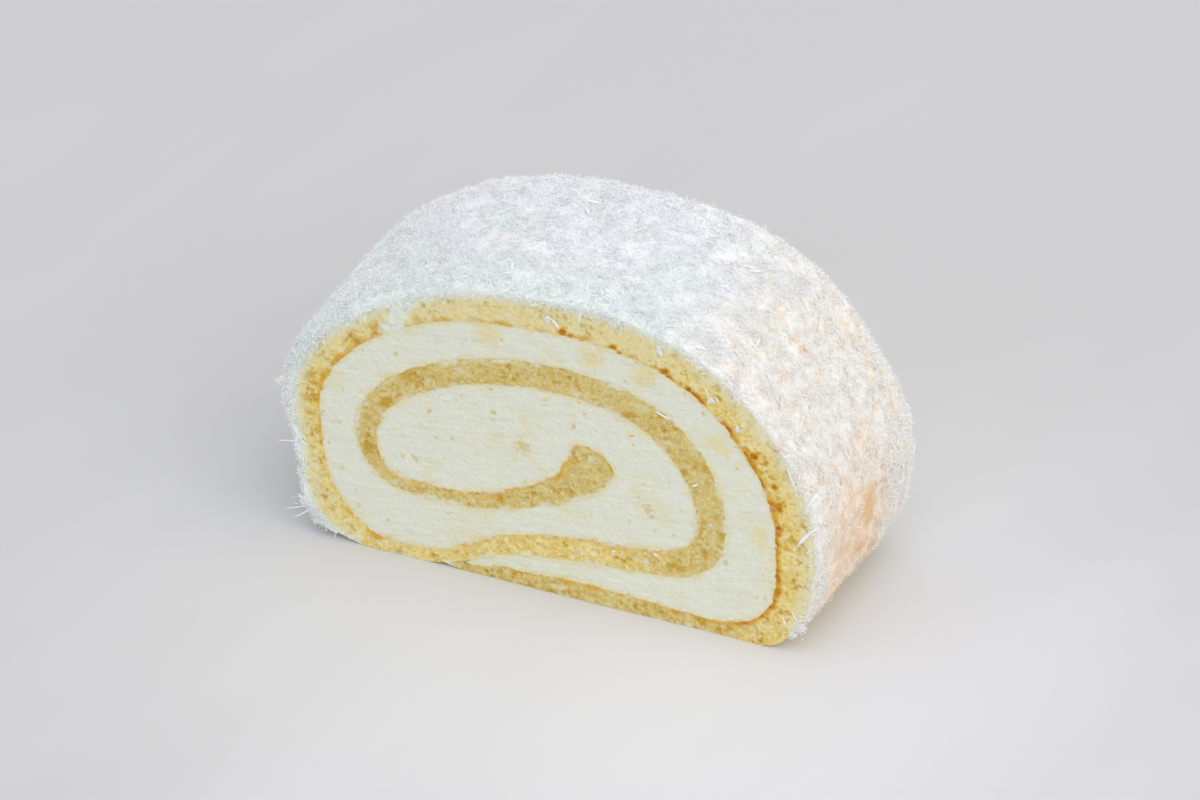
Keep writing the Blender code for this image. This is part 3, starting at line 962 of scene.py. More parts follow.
def drag_knife(slab, back, look):
    """Long low knife marks, fine lumps and a softer swell, on a cut face."""
    face = slab.face_range(back)
    outward = 1 if back else -1
    x, z = slab.flat.T
    run = x * math.cos(DRAG_TURN) + z * math.sin(DRAG_TURN)
    rise = z * math.cos(DRAG_TURN) - x * math.sin(DRAG_TURN)
    marks = drift(np.column_stack([run / 7, rise]), 0.9 * MM, 20, back)
    marks += 0.8 * drift(np.column_stack([run / 3, rise]), 2.0 * MM, 21, back)
    lumps = drift(slab.flat, 0.9 * MM, 23, back) + 0.5 * drift(slab.flat, 2.2 * MM, 24, back)
    swell = drift(slab.flat, 7 * MM, 22, back)
    slab.points[face, 1] += outward * (look.drag_height * (marks + 1.6 * swell) + look.lump_height * lumps)
    slab.mark("dip")[face] = 0.5 - 0.4 * (marks + lumps)


def mark_rim(slab, back):
    """How near to the sponge a point of the cream lies."""
    face = slab.face_range(back)
    ring = tree_of(slab.ring)
    from_edge = np.array([ring.find((x, z, 0))[2] for x, z in slab.flat])
    uneven = (0.8 * drift(slab.flat, 2.6 * MM, 25, back) + 0.4 * drift(slab.flat, 0.9 * MM, 26, back)) * MM
    slab.mark("rim")[face] = 1 - ramp(from_edge + uneven, 0.1 * MM, 1.5 * MM)
    if not back:
        slab.mark("rim")[face] *= 1 - smear_mask(slab.flat)
        slab.mark("smudge")[face] = spots(slab.flat, SMUDGES, drift(slab.flat, 0.9 * MM, 26))


def draw_bubbles(look, slab, back, draw):
    """Named bubbles on the shown face, and small ones anywhere on both."""
    named = [] if back else [(Vector((b.x, b.z)) * MM, b.radius * MM, b.depth * MM) for b in BUBBLES]
    spread = [slab.flat[draw.randrange(slab.edge, slab.count)] for _ in range(look.bubble_count)]
    return named + [(Vector(p), draw.uniform(0.2, 0.4) * MM, draw.uniform(0.06, 0.15) * MM) for p in spread]


def cream_material(look, sponge):
    material, tree, shader = new_material("whipped_cream_filling", 0.62, 0.2, 0.8 * MM, (1.0, 0.9, 0.7))
    place = tree.place()
    dragged = tree.place((5.0, 1.0, 1.0), (0, -DRAG_TURN, 0))
    streak = tree.grain(0.8 * MM, dragged, 4.0, 0.6)
    fine = tree.grain(0.45 * MM, place, 4.0, 0.7)
    warm = tree.grain(6 * MM, place, 3.0).between(0.5, 0.72)
    smudge = tree.grain(2.6 * MM, tree.place((1.8, 1, 1), (0, -DRAG_TURN, 0)), 3.0, 0.6).between(0.62, 0.74)
    fleck = 1 - tree.cells(1.7 * MM, tree.place((1.6, 1, 1))).between(0.08, 0.22)
    rare = tree.grain(3 * MM, place, 1.0).between(0.5, 0.6)
    shade = tree.mix(warm * 0.5, look.cream_colour, look.butter_colour)
    shade = tree.mix(streak.between(0.5, 0.75) * 0.3, shade, look.butter_colour)
    shade = tree.mix(tree.attribute("dip").between(0.55, 0.95) * 0.3, shade, look.butter_colour)
    shade = tree.mix(smudge * 0.3 + tree.attribute("smudge") * 0.5, shade, sponge.crumb_colour)
    shade = tree.mix(tree.attribute("rim") * (0.2 + 0.6 * fine), shade, sponge.crumb_colour)
    shade = tree.mix(fine.between(0.5, 0.7) * 0.5, shade, look.butter_colour)
    shade = tree.mix(fleck * rare * 0.35, shade, look.fleck_and_bubble_shade_colour)
    # Painted shade inside the carved bubbles
    shade = tree.mix(tree.attribute("bubble") * (0.15 + 0.9 * fine), shade, look.fleck_and_bubble_shade_colour)
    bump = tree.bump(0.6 * streak + fine, 0.32 * MM, 1.0)
    finish_material(tree, shader, shade, bump)
    return material


class SWISSROLL_OT_cream(bpy.types.Operator):
    """Make the cream between the turns, with its knife marks and bubbles"""

    bl_idname = "swissroll.cream"
    bl_label = "Cream"

    def execute(self, context):
        look = context.scene.swiss_roll
        path = fine_path()
        slab = Slab(cream_outline(path, look.cream.spacing, LAP), look.cream.spacing, 3, look.seed + 3)
        for back in (False, True):
            drag_knife(slab, back, look.cream)
            mark_rim(slab, back)
            bubbles = draw_bubbles(look.cream, slab, back, random.Random(look.seed + 5 + back))
            carve(slab, back, bubbles, "bubble", 1.3)
        slab.settle()
        piece = slab.piece("cream_filling", cream_material(look.cream, look.sponge))
        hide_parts("cream")
        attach(piece, "root")
        return {"FINISHED"}


# Coat

SKIN_STEP = 0.7 * MM
SKIN_DEPTHS = np.linspace(-SLICE_DEPTH / 2, SLICE_DEPTH / 2, round(SLICE_DEPTH / SKIN_STEP) + 1)
SKIN_FROM = COAT_FROM + 2 * MM  # clear of the shown corner of the sponge
COAT_HEM = 0.5 * MM  # the skin stops this far above the board
COAT_LUMP = 0.35 * MM
HEM_FADE = (0.8 * MM, 2.6 * MM)  # the coconut thins out towards the board between these heights
ROUND_CUT = (1.1 * MM, -0.2 * MM)  # in from the skin, where the coconut goes on round the edge of a cut
ROUND_CUT_RISE = 0.12 * MM  # and how far proud of the cut it does
ROUND_CUT_COVER = (0.4, 1.0)  # how thickly it covers them

# Where the right side is bare, toasted or warm and the shown side greenish. Each fades over a stretch.
BARE_ACROSS = (38 * MM, 46 * MM)
BARE_UP = (24 * MM, 40 * MM)
BARE_BACK = (0, 14 * MM)
BARE_FRONT = (-21 * MM, -16 * MM)
TOAST_ACROSS = (40 * MM, 46 * MM)
WARM_ACROSS = (12 * MM, 46 * MM)
MINT_BACK = (-20 * MM, -8 * MM)


def bareness(place):
    """How far the crust shows through the coconut, from 0 to 1: mostly low on the right side."""
    right = ramp(place.x, *BARE_ACROSS)
    low = 1 - ramp(place.z + 6 * MM * wander(place, 9 * MM, 30), *BARE_UP)
    behind = 1 - ramp(place.y + 4 * MM * wander(place, 7 * MM, 31), *BARE_BACK)
    before = ramp(place.y + 2 * MM * wander(place, 5 * MM, 32), *BARE_FRONT)
    return float(right * low * behind * before)


# Places on the right side where the crust shows most: how far back and how high, and how large
Toast = namedtuple("Toast", "y z half_depth half_height")
TOASTS = (
    Toast(-0.5, 22.5, 3.2, 5.0),
    Toast(-4.0, 15.0, 4.0, 2.0),
    Toast(3.0, 10.0, 5.0, 1.6),
    Toast(-9.0, 8.0, 3.0, 2.4),
)


def toasting(place):
    """How strongly browned crust shows on the right side, from 0 to 1."""
    ragged = 0.5 * wander(place, 2.4 * MM, 38)
    y, z = place.y / MM, place.z / MM
    reach = min(math.hypot((y - t.y) / t.half_depth, (z - t.z) / t.half_height) for t in TOASTS)
    return float((1 - ramp(reach + ragged, 0.3, 1.3)) * ramp(place.x, *TOAST_ACROSS))


def warmth(place):
    """How warm the coat is, from 0 on the crown and the left side to 1 on the right side."""
    return float(ramp(place.x + 7 * MM * wander(place, 12 * MM, 35), *WARM_ACROSS))


def mintiness(place):
    """How greenish the coat is: along the shown cut, and in patches behind the crown."""
    front = 1 - ramp(place.y + 4 * MM * wander(place, 8 * MM, 36), *MINT_BACK)
    patch = ramp(wander(place, 8 * MM, 37), 0.2, 0.45)
    return float(max(0.5 * front, 0.4 * patch) * (1 - warmth(place)))


def coat_top(station, depth, look):
    """A point on the outside of the skin, with its lumps and, where it is bare, its wrinkles."""
    away = -left_of(station.heading)
    outward = Vector((away.x, 0, away.y))
    edge = SLICE_DEPTH / 2 - abs(depth)
    rounded = 0.6 + 0.4 * smooth(min(1.0, edge / (2.0 * MM)))
    top = skin_edge(station, coat_thickness(station.along) * look.skin * rounded)
    place = Vector((top.x, depth, max(COAT_HEM, top.y)))
    free = smooth(min(1.0, place.z / SAG_FREE_HEIGHT))
    fuller = COAT_FULLER * ramp(place.x, 0.0, 40 * MM) * (depth / SLICE_DEPTH + 0.5)
    fuller *= 1 - ramp(place.z, COAT_FULLER_LOW, COAT_FULLER_HIGH)
    bare = bareness(place)
    lumps = COAT_LUMP * (wander(place, 4.2 * MM, 4) + 1.6 * wander(place, 1.9 * MM, 33))
    folded = Vector((place.x, place.y * 0.7 + place.z * 0.5, place.z))
    wrinkle = 0.6 * MM * bare * (1 - 2 * abs(wander(folded, 3.2 * MM, 34)))
    return place + outward * ((lumps + fuller) * free + wrinkle)


def coat_points(path, look, lapped):
    """Rows of points over the coat, from hem to hem. A lapped row goes on a little way round both cuts."""
    rows = []
    for station in even_stations(path, SKIN_FROM, COAT_TO, SKIN_STEP):
        row = [coat_top(station, depth, look) for depth in SKIN_DEPTHS]
        if lapped:
            row = round_cut(station, row[0], -1) + row + round_cut(station, row[-1], 1)[::-1]
        rows.append([place + sag(place) for place in row])
    return rows


def round_cut(station, top, side):
    """Two points on a cut face, in from the edge of the coat and just proud of the sponge."""
    points = []
    for inward in ROUND_CUT:
        place = skin_edge(station, -inward)
        points.append(Vector((place.x, top.y + side * ROUND_CUT_RISE, max(COAT_HEM, place.y))))
    return points


def sheet_faces(rows):
    """Faces between neighbouring rows of points."""
    wide = len(rows[0])
    starts = [row * wide + column for row in range(len(rows) - 1) for column in range(wide - 1)]
    return [(at, at + 1, at + wide + 1, at + wide) for at in starts]


def coat_shell(path, look):
    """The skin of cream outside the sponge, as the points and faces of a closed shell."""
    rows = coat_points(path, look, False)
    count, wide = len(rows) - 1, len(SKIN_DEPTHS)
    points = [place for row in rows for place in row]
    under = len(points)
    for station in even_stations(path, SKIN_FROM, COAT_TO, SKIN_STEP):
        foot = skin_edge(station, -LAP)
        ends = [Vector((foot.x, depth, max(COAT_HEM, foot.y))) for depth in SKIN_DEPTHS[[0, -1]]]
        points += [place + sag(place) for place in ends]
    faces = sheet_faces(rows)
    for r in range(count):
        here, ahead, low, high = r * wide, (r + 1) * wide, under + 2 * r, under + 2 * r + 2
        faces.append((low, high, high + 1, low + 1))
        faces.append((here, ahead, high, low))
        faces.append((ahead + wide - 1, here + wide - 1, low + 1, high + 1))
    faces.append((*range(wide - 1, -1, -1), under, under + 1))
    last = count * wide
    faces.append((*range(last, last + wide), under + 2 * count + 1, under + 2 * count))
    return points, faces


def coat_marks(points):
    """Where the coat is bare, toasted, warm or greenish."""
    return {
        "bare": [bareness(p) for p in points],
        "toast": [toasting(p) for p in points],
        "warm": [warmth(p) for p in points],
        "mint": [mintiness(p) for p in points],
    }


def skin_material(look):
    material, tree, shader = new_material("coconut_cream_skin", 0.7, 0.15, 0.4 * MM, (1.0, 0.85, 0.7))
    place = tree.place()
    fine = tree.grain(0.8 * MM, place, 4.0, 0.6)
    blotch = tree.grain(2.4 * MM, place, 3.0, 0.6)
    bare, warm = tree.attribute("bare"), tree.attribute("warm")
    shade = tree.mix(tree.attribute("mint") * 0.8, look.white_colour, look.mint_colour)
    shade = tree.mix(warm, shade, look.warm_colour)
    shade = tree.mix(warm * blotch.between(0.48, 0.66) * 0.8, shade, look.peach_colour)
    shade = tree.mix(bare * (0.5 + 0.6 * blotch.between(0.35, 0.65)), shade, look.peach_colour)
    shade = tree.mix(tree.attribute("toast"), shade, look.toast_colour)
    bump = tree.bump(fine, 0.4 * MM, 0.8)
    finish_material(tree, shader, shade, bump)
    return material


class SWISSROLL_OT_coat(bpy.types.Operator):
    """Make the skin of cream that the coconut sticks to"""

    bl_idname = "swissroll.coat"
    bl_label = "Coat"

    def execute(self, context):
        look = context.scene.swiss_roll
        points, faces = coat_shell(fine_path(), look.coconut)
        mesh = mesh_of("coat_skin", points, faces, coat_marks(points))
        face_outwards(mesh)
        mesh.set_sharp_from_angle(angle=SHARP_ANGLE)
        mesh.materials.append(skin_material(look.coconut))
        piece = add_object("coat_skin", mesh)
        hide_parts("coconut_coat")
        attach(piece, "root")
        return {"FINISHED"}


# Coconut

# The kinds of shred: how many steps and sides each has, its smallest and largest length, width and thickness
# in millimetres, how far it may tilt, how far it may stand off the skin in millimetres, and how it may bend
Kind = namedtuple("Kind", "name density steps sides smallest largest tilt lift bends")
KINDS = (
    Kind(
        "coconut_fine", "fine_density", 1, 3,
        (0.5, 0.14, 0.1), (1.3, 0.26, 0.16), 0.6, 0.35, (0, 0),
    ),
    Kind(
        "coconut_fuzz", "fine_density", 1, 3,
        (0.5, 0.12, 0.1), (1.6, 0.24, 0.16), 1.1, 0.7, (0, 0),
    ),
    Kind(
        "coconut_medium", "medium_density", 2, 3,
        (0.8, 0.18, 0.12), (1.8, 0.34, 0.22), 0.7, 0.5, (0.3, -0.3, 0.1),
    ),
    Kind(
        "coconut_long", "long_density", 3, 4,
        (1.8, 0.3, 0.14), (3.2, 0.55, 0.24), 0.25, 0.5, (0.5, -0.5, 0.2),
    ),
    Kind(
        "coconut_whisker", "whisker_density", 2, 3,
        (1.2, 0.12, 0.1), (3.0, 0.2, 0.16), 1.1, 0.4, (0.6, -0.4),
    ),
)


def shred_mesh(name, steps, sides, bend, twist):
    """One shred of unit length, width and thickness: a sliver that bends and twists a little, to a point."""
    points = []
    for step in range(steps):
        t = step / steps
        slim = 0.36 + 0.14 * math.sin(math.pi * t)
        lift = bend * (1 - (2 * t - 1) ** 2)
        for corner in range(sides):
            side = heading_vector(90 + 360 * corner / sides + math.degrees(twist * t)) * slim
            points.append((t - 0.5, side.x, side.y + lift))
    tip = len(points)
    points.append((0.5, 0, 0))
    faces = [tuple(range(sides))]
    for start in range(0, tip, sides):
        for c in range(sides):
            a, b = start + c, start + (c + 1) % sides
            faces.append((a, b, b + sides, a + sides) if start + sides < tip else (a, b, tip))
    mesh = bpy.data.meshes.new(name)
    mesh.from_pydata(points, [], faces)
    face_outwards(mesh)
    return mesh


def shred_kinds(kind):
    """A collection of a few different shreds to pick from."""
    collection = bpy.data.collections.new(kind.name + "_kinds")
    for index, bend in enumerate(kind.bends):
        mesh = shred_mesh(f"{kind.name}_{index}", kind.steps, kind.sides, bend, 0.3 * (1 - 2 * index))
        collection.objects.link(bpy.data.objects.new(mesh.name, mesh))
    return collection


def scatter_tree():
    """Scatters the things in a collection over a mesh, each turned, tilted, sized and lifted at random."""
    group = bpy.data.node_groups.new("scatter_coconut", "GeometryNodeTree")
    sockets = (
        ("Geometry", "NodeSocketGeometry"),
        ("Shreds", "NodeSocketCollection"),
        ("Density", "NodeSocketFloat"),
        ("Seed", "NodeSocketInt"),
        ("Smallest", "NodeSocketVector"),
        ("Largest", "NodeSocketVector"),
        ("Tilt", "NodeSocketFloat"),
        ("Lift", "NodeSocketFloat"),
        ("Material", "NodeSocketMaterial"),
    )
    for name, kind in sockets:
        group.interface.new_socket(name, in_out="INPUT", socket_type=kind)
    group.interface.new_socket("Geometry", in_out="OUTPUT", socket_type="NodeSocketGeometry")
    tree = Tree(group)
    inputs = tree.nodes.new("NodeGroupInput")
    bed, shreds, density, seed, smallest, largest, tilt, lift, material = (
        Value(tree, inputs.outputs[name]) for name, _ in sockets
    )
    cover = tree.add("GeometryNodeInputNamedAttribute", {"data_type": "FLOAT"}, {"Name": "cover"})
    values = {"Mesh": bed, "Density": density * cover, "Seed": seed}
    points = tree.add("GeometryNodeDistributePointsOnFaces", {}, values, "Points")
    upright = Value(tree, points.socket.node.outputs["Rotation"])
    low = tree.add("ShaderNodeCombineXYZ", {}, {0: tilt * -1.0, 1: tilt * -1.0, 2: -math.pi})
    high = tree.add("ShaderNodeCombineXYZ", {}, {0: tilt, 1: tilt, 2: math.pi})
    turned = tree.add("FunctionNodeEulerToRotation", {}, {"Euler": tree.random_vector(seed, low, high)})
    values = {"Rotation": upright, "Rotate By": turned}
    rotation = tree.add("FunctionNodeRotateRotation", {"rotation_space": "LOCAL"}, values)
    size = tree.random_vector(seed + 1.0, smallest, largest)
    values = {"Collection": shreds, "Separate Children": True, "Reset Children": True}
    kinds = tree.add("GeometryNodeCollectionInfo", {}, values)
    values = {"Points": points, "Instance": kinds, "Pick Instance": True, "Rotation": rotation, "Scale": size}
    placed = tree.add("GeometryNodeInstanceOnPoints", {}, values)
    values = {"Mesh": bed, "Value": tree.add("GeometryNodeInputNormal")}
    normal = tree.add("GeometryNodeSampleNearestSurface", {"data_type": "FLOAT_VECTOR"}, values)
    values = {0: normal, "Scale": tree.random_number(seed + 2.0, lift)}
    shift = tree.add("ShaderNodeVectorMath", {"operation": "SCALE"}, values)
    values = {"Instances": placed, "Translation": shift, "Local Space": False}
    lifted = tree.add("GeometryNodeTranslateInstances", {}, values)
    values = {"Geometry": lifted, "Name": "tint", "Value": tree.random_number(seed + 3.0, 1.0)}
    settings = {"data_type": "FLOAT", "domain": "INSTANCE"}
    tinted = tree.add("GeometryNodeStoreNamedAttribute", settings, values)
    real = tree.add("GeometryNodeRealizeInstances", {}, {"Geometry": tinted})
    coated = tree.add("GeometryNodeSetMaterial", {}, {"Geometry": real, "Material": material})
    output = tree.nodes.new("NodeGroupOutput")
    tree.links.new(coated.socket, output.inputs["Geometry"])
    return group


def scatter(name, bed, group, values):
    """Runs the scatter tree over a bed mesh, and leaves a plain piece."""
    scattered = add_object(name, bed)
    modifier = scattered.modifiers.new("scatter", "NODES")
    modifier.node_group = group
    for item in group.interface.items_tree:
        if item.in_out == "INPUT" and item.name in values:
            modifier[item.identifier] = values[item.name]
    bpy.context.view_layer.update()
    mesh = bpy.data.meshes.new_from_object(scattered.evaluated_get(bpy.context.evaluated_depsgraph_get()))
    scattered.modifiers.clear()
    scattered.data = mesh
    mesh.name = name
    return scattered


def shred_material(look):
    """Coconut: cool white, greener along the shown cut, and warmer on the right side."""
    material, tree, shader = new_material("shredded_coconut_white", 0.55, 0.35, 0.25 * MM, (1.0, 0.95, 0.9))
    tint, warm, mint = (tree.attribute(name) for name in ("tint", "warm", "mint"))
    shade = tree.mix(mint * tint.between(0.1, 0.7), look.white_colour, look.mint_colour)
    shade = tree.mix(warm * tint.between(0.0, 0.5), shade, look.warm_colour)
    shade = tree.mix(warm * tint.between(0.85, 0.98) * 0.5, shade, look.peach_colour)
    shade = tree.mix(tree.attribute("bare") * 0.4, shade, look.peach_colour)
    shade = tree.mix((1 - tint.between(0.1, 0.3)) * (0.6 - 0.4 * warm), shade, look.shade_colour)
    # Painted light: the loose shreds on a cut face are made a brighter white
    shade = tree.mix(tree.attribute("loose"), shade, look.loose_highlight_colour)
    fibre = tree.grain(0.35 * MM, tree.place(), 2.0)
    bump = tree.bump(fibre, 0.06 * MM, 0.5)
    finish_material(tree, shader, shade, bump)
    return material


def coconut_bed(path, look):
    """The outside of the coat and the rims of both cuts, marked with how thickly the coconut covers them."""
    rows = coat_points(path, look, True)
    points = [place for row in rows for place in row]
    wide = len(rows[0])
    cover = []
    for index, place in enumerate(points):
        from_cut = min(index % wide, wide - 1 - index % wide)
        thick = 1.0 + 0.3 * wander(place, 6 * MM, 40) + 0.9 * wander(place, 2.4 * MM, 42)
        if from_cut < len(ROUND_CUT):
            thick = ROUND_CUT_COVER[from_cut] * (0.5 + 1.6 * wander(place, 3.5 * MM, 41))
        thick *= (1 - 0.9 * bareness(place)) * (1 - 0.2 * warmth(place)) * (1 - 0.8 * toasting(place))
        cover.append(max(0.0, thick * float(ramp(place.z, *HEM_FADE))))
    return mesh_of("coconut_bed", points, sheet_faces(rows), {"cover": cover, **coat_marks(points)})


class SWISSROLL_OT_coconut(bpy.types.Operator):
    """Scatter fine, medium and long shreds of coconut and stray whiskers over the coat"""

    bl_idname = "swissroll.coconut"
    bl_label = "Coconut"

    def execute(self, context):
        look = context.scene.swiss_roll
        group = scatter_tree()
        bed = coconut_bed(fine_path(), look.coconut)
        material = shred_material(look.coconut)
        for index, kind in enumerate(KINDS):
            values = {
                "Shreds": shred_kinds(kind),
                "Density": getattr(look.coconut, kind.density) / MM**2,
                "Seed": look.seed + 10 * index,
                "Smallest": Vector(kind.smallest) * MM,
                "Largest": Vector(kind.largest) * MM,
                "Tilt": kind.tilt,
                "Lift": kind.lift * MM,
                "Material": material,
            }
            piece = scatter(kind.name, bed, group, values)
            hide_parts("coconut_coat")
            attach(piece, "root")
        return {"FINISHED"}


# Loose bits

# Shreds and flakes of coconut that lie on the shown face, from one end to the other, and how wide they are
Stray = namedtuple("Stray", "x z to_x to_z width")
STRAYS = (
    Stray(46.8, 41.2, 49.3, 35.9, 0.6),
    Stray(52.6, 37.1, 50.9, 31.5, 0.95),
    Stray(53.1, 29.6, 49.5, 24.2, 0.85),
    Stray(51.4, 24.6, 52.0, 23.2, 0.35),
    Stray(20.9, 46.5, 23.9, 45.9, 0.5),
    Stray(30.8, 54.4, 31.6, 52.6, 0.35),
    Stray(32.6, 53.2, 33.6, 51.8, 0.35),
    Stray(37.4, 47.9, 38.8, 47.6, 0.3),
    Stray(0.2, 61.4, 1.9, 59.3, 0.6),
    Stray(5.6, 61.6, 6.8, 65.0, 0.5),
    Stray(-33.4, 58.4, -31.8, 55.0, 0.35),
    Stray(-52.0, 20.2, -57.4, 19.3, 0.25),
    Stray(-51.0, 6.0, -56.4, 4.0, 0.25),
    Stray(-50.6, 5.4, -54.2, 2.6, 0.3),
    Stray(28.2, 31.9, 29.2, 32.7, 0.5),
    Stray(48.6, 9.6, 49.6, 6.8, 0.4),
    Stray(46.6, 7.6, 47.5, 5.9, 0.45),
    Stray(12.1, 12.7, 12.8, 13.1, 0.6),
    Stray(20.6, 14.5, 21.4, 14.9, 0.6),
)

# Clumps of short shreds on the shown face, and how many shreds each has
Clump = namedtuple("Clump", "x z radius shreds")
CLUMPS = (
    Clump(50.4, 6.0, 1.4, 60),  # lower right corner
    Clump(48.8, 4.0, 0.9, 24),
    Clump(-0.1, 61.1, 0.7, 24),  # crown
    Clump(12.4, 63.2, 0.8, 20),
    Clump(32.0, 51.9, 0.7, 24),
    Clump(37.2, 46.8, 0.6, 18),
    Clump(21.5, 60.0, 0.9, 18),
    Clump(-55.6, 33.0, 1.2, 32),  # left side
    Clump(-52.2, 20.4, 0.8, 24),
    Clump(-52.8, 13.6, 0.9, 28),
    Clump(-52.2, 7.0, 1.3, 42),  # lower left corner
    Clump(-49.4, 3.0, 0.8, 22),
    Clump(-29.5, 56.8, 0.9, 18),
)


CLUMP_FOOT = 0.5  # no shred of a clump lies lower than this, in millimetres


def clump_shreds(clump, draw):
    """The shreds of a clump: some broad flakes in its middle, and finer shreds all round."""
    for number in range(clump.shreds):
        broad = number < clump.shreds / 3
        spread = clump.radius * (0.3 if broad else 0.55)
        x, z = draw.gauss(clump.x, spread), draw.gauss(clump.z, spread)
        away = heading_vector(draw.uniform(0, 180)) * draw.uniform(0.2, 0.5)
        width = draw.uniform(0.5, 0.85) if broad else draw.uniform(0.14, 0.28)
        low, high = max(CLUMP_FOOT, z - away.y), max(CLUMP_FOOT, z + away.y)
        yield Stray(x - away.x, low, x + away.x, high, width)


def lay_shred(points, faces, stray, side):
    """Adds one shred to the lists. It lies on a cut face, bending a little in the plane of the face."""
    start, end = Vector((stray.x, stray.z)) * MM, Vector((stray.to_x, stray.to_z)) * MM
    run = end - start
    across = left_of(run.normalized())
    half = stray.width / 2 * MM
    steps = 4
    first = len(points)
    for step in range(steps + 1):
        t = step / steps
        slim = 0.35 + 0.65 * math.sin(math.pi * (0.1 + 0.8 * t))
        middle = start + run * t + across * half * 0.8 * math.sin(2.8 * t + stray.x)
        for out, up in ((-1, 0), (-0.6, 0.7), (0.6, 0.7), (1, 0), (0.6, -0.6), (-0.6, -0.6)):
            flat = middle + across * half * slim * out
            rise = 0.1 * MM + half * 0.35 * slim * up
            place = Vector((flat.x, side * (SLICE_DEPTH / 2 + rise), flat.y))
            points.append(place + sag(place))
    faces += [tuple(range(first, first + 6)), tuple(range(first + 6 * steps, first + 6 * steps + 6))]
    for step in range(steps):
        for c in range(6):
            a, b = first + 6 * step + c, first + 6 * step + (c + 1) % 6
            faces.append((a, b, b + 6, a + 6))


def stray_shreds(path, draw):
    """The named shreds and clumps of the shown face, and single shreds at random on the hidden one."""
    points, faces = [], []
    for stray in STRAYS:
        lay_shred(points, faces, stray, -1)
        station = station_at(path, draw.uniform(COAT_FROM, COAT_TO))
        place = station.place / MM
        turn, reach = draw.uniform(0, math.pi), draw.uniform(1.0, 2.4)
        away = Vector((math.cos(turn), math.sin(turn))) * reach
        far = place + away
        lay_shred(points, faces, Stray(place.x, place.y, far.x, max(1.5, far.y), stray.width), 1)
    for clump in CLUMPS:
        for stray in clump_shreds(clump, draw):
            lay_shred(points, faces, stray, -1)
    return points, faces


def crumb_bits(path, look, draw):
    """Small lumps of sponge that the knife has left on the cream, near the sponge, on both cut faces."""
    ball = bmesh.new()
    bmesh.ops.create_icosphere(ball, subdivisions=2, radius=1)
    shape = [vertex.co.copy() for vertex in ball.verts]
    corners = [[vertex.index for vertex in face.verts] for face in ball.faces]
    ball.free()
    points, faces = [], []
    for number in range(2 * look.crumbs):
        side = 1 if number % 2 else -1
        station = station_at(path, draw.uniform(20 * MM, path[-1].along - 6 * MM))
        beyond = draw.uniform(0.1, 1.0) ** 2 * 3.2 * MM
        edge = cream_edge(station, beyond)
        radius = draw.uniform(0.12, 0.3) * MM
        middle = Vector((edge.x, side * SLICE_DEPTH / 2, edge.y))
        middle += sag(middle)
        first = len(points)
        for co in shape:
            lumpy = 1 + 0.9 * noise.noise(co * 1.6 + Vector((number, 0, 0)))
            points.append(middle + Vector((co.x * 1.5, co.y * 0.5, co.z)) * radius * lumpy)
        faces += [[first + i for i in face] for face in corners]
    return points, faces


def crumb_material(look):
    material, tree, shader = new_material("loose_crumb", 0.9, 0.05, 0.2 * MM, (1.0, 0.9, 0.6))
    fine = tree.grain(0.4 * MM, tree.place(), 3.0)
    shade = tree.mix(fine.between(0.4, 0.65), look.crumb_colour, look.dense_crumb_and_dip_shade_colour)
    finish_material(tree, shader, shade, tree.bump(fine, 0.1 * MM, 0.6))
    return material


class SWISSROLL_OT_bits(bpy.types.Operator):
    """Lay stray shreds of coconut and crumbs of sponge on the cut faces"""

    bl_idname = "swissroll.bits"
    bl_label = "Stray Shreds and Crumbs"

    def execute(self, context):
        look = context.scene.swiss_roll
        path = fine_path()
        draw = random.Random(look.seed + 70)
        points, faces = stray_shreds(path, draw)
        strays = mesh_of("stray_shreds", points, faces, {"loose": [1.0] * len(points)})
        crumbs = mesh_of("stray_crumbs", *crumb_bits(path, look.sponge, draw), {})
        strays.materials.append(bpy.data.materials["shredded_coconut_white"])
        crumbs.materials.append(crumb_material(look.sponge))
        for mesh, node, slot in (
            (strays, "coconut_coat", "shredded_coconut"),
            (crumbs, "sponge", "baked_sponge"),
        ):
            face_outwards(mesh)
            piece = add_object(mesh.name, mesh)
            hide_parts(node)
            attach(piece, "root")
        return {"FINISHED"}


# Stage

CAMERA_DISTANCE = 1.2
CAMERA_AZIMUTH = math.radians(23.5817)
CAMERA_ELEVATION = math.radians(33.3735)
CAMERA_LENS = 190.83
CAMERA_SENSOR = 36
AIM_RIGHT = 8.912 * MM  # from the middle of the shown base edge to the point that the camera looks at
AIM_UP = 36.339 * MM
KEY_DIRECTION = Vector((0.62, -0.40, 1.0))
KEY_DISTANCE = 2.5
KEY_SIZE = 3.5
FLOOR_REACH = 3.0
FLOOR_DROP = 0.05 * MM  # below the base of the slice
LIGHT_POOL_PLACE = Vector((34, -40, 0)) * MM  # middle of the painted pool of light on the cloth
LIGHT_POOL_REACH = (0, 160 * MM)
FOLD_SHADE_SIZE = 34 * MM
FOLD_SHADE_TURN = math.radians(75)  # the way that the painted shade of the cloth's folds runs, anticlockwise from +X


def add_camera():
    right = Vector((math.cos(CAMERA_AZIMUTH), math.sin(CAMERA_AZIMUTH), 0))
    level = Vector((math.sin(CAMERA_AZIMUTH), -math.cos(CAMERA_AZIMUTH), 0))
    back = level * math.cos(CAMERA_ELEVATION) + Vector((0, 0, math.sin(CAMERA_ELEVATION)))
    up = back.cross(right)
    aim = right * AIM_RIGHT + up * AIM_UP + Vector((0, -SLICE_DEPTH / 2, 0))
    data = bpy.data.cameras.new("photo_view")
    data.lens = CAMERA_LENS
    data.sensor_width = CAMERA_SENSOR
    camera = add_object("photo_view", data)
    turn = Matrix((right, up, back)).transposed().to_4x4()
    camera.matrix_world = Matrix.Translation(aim + back * CAMERA_DISTANCE) @ turn
    bpy.context.scene.camera = camera


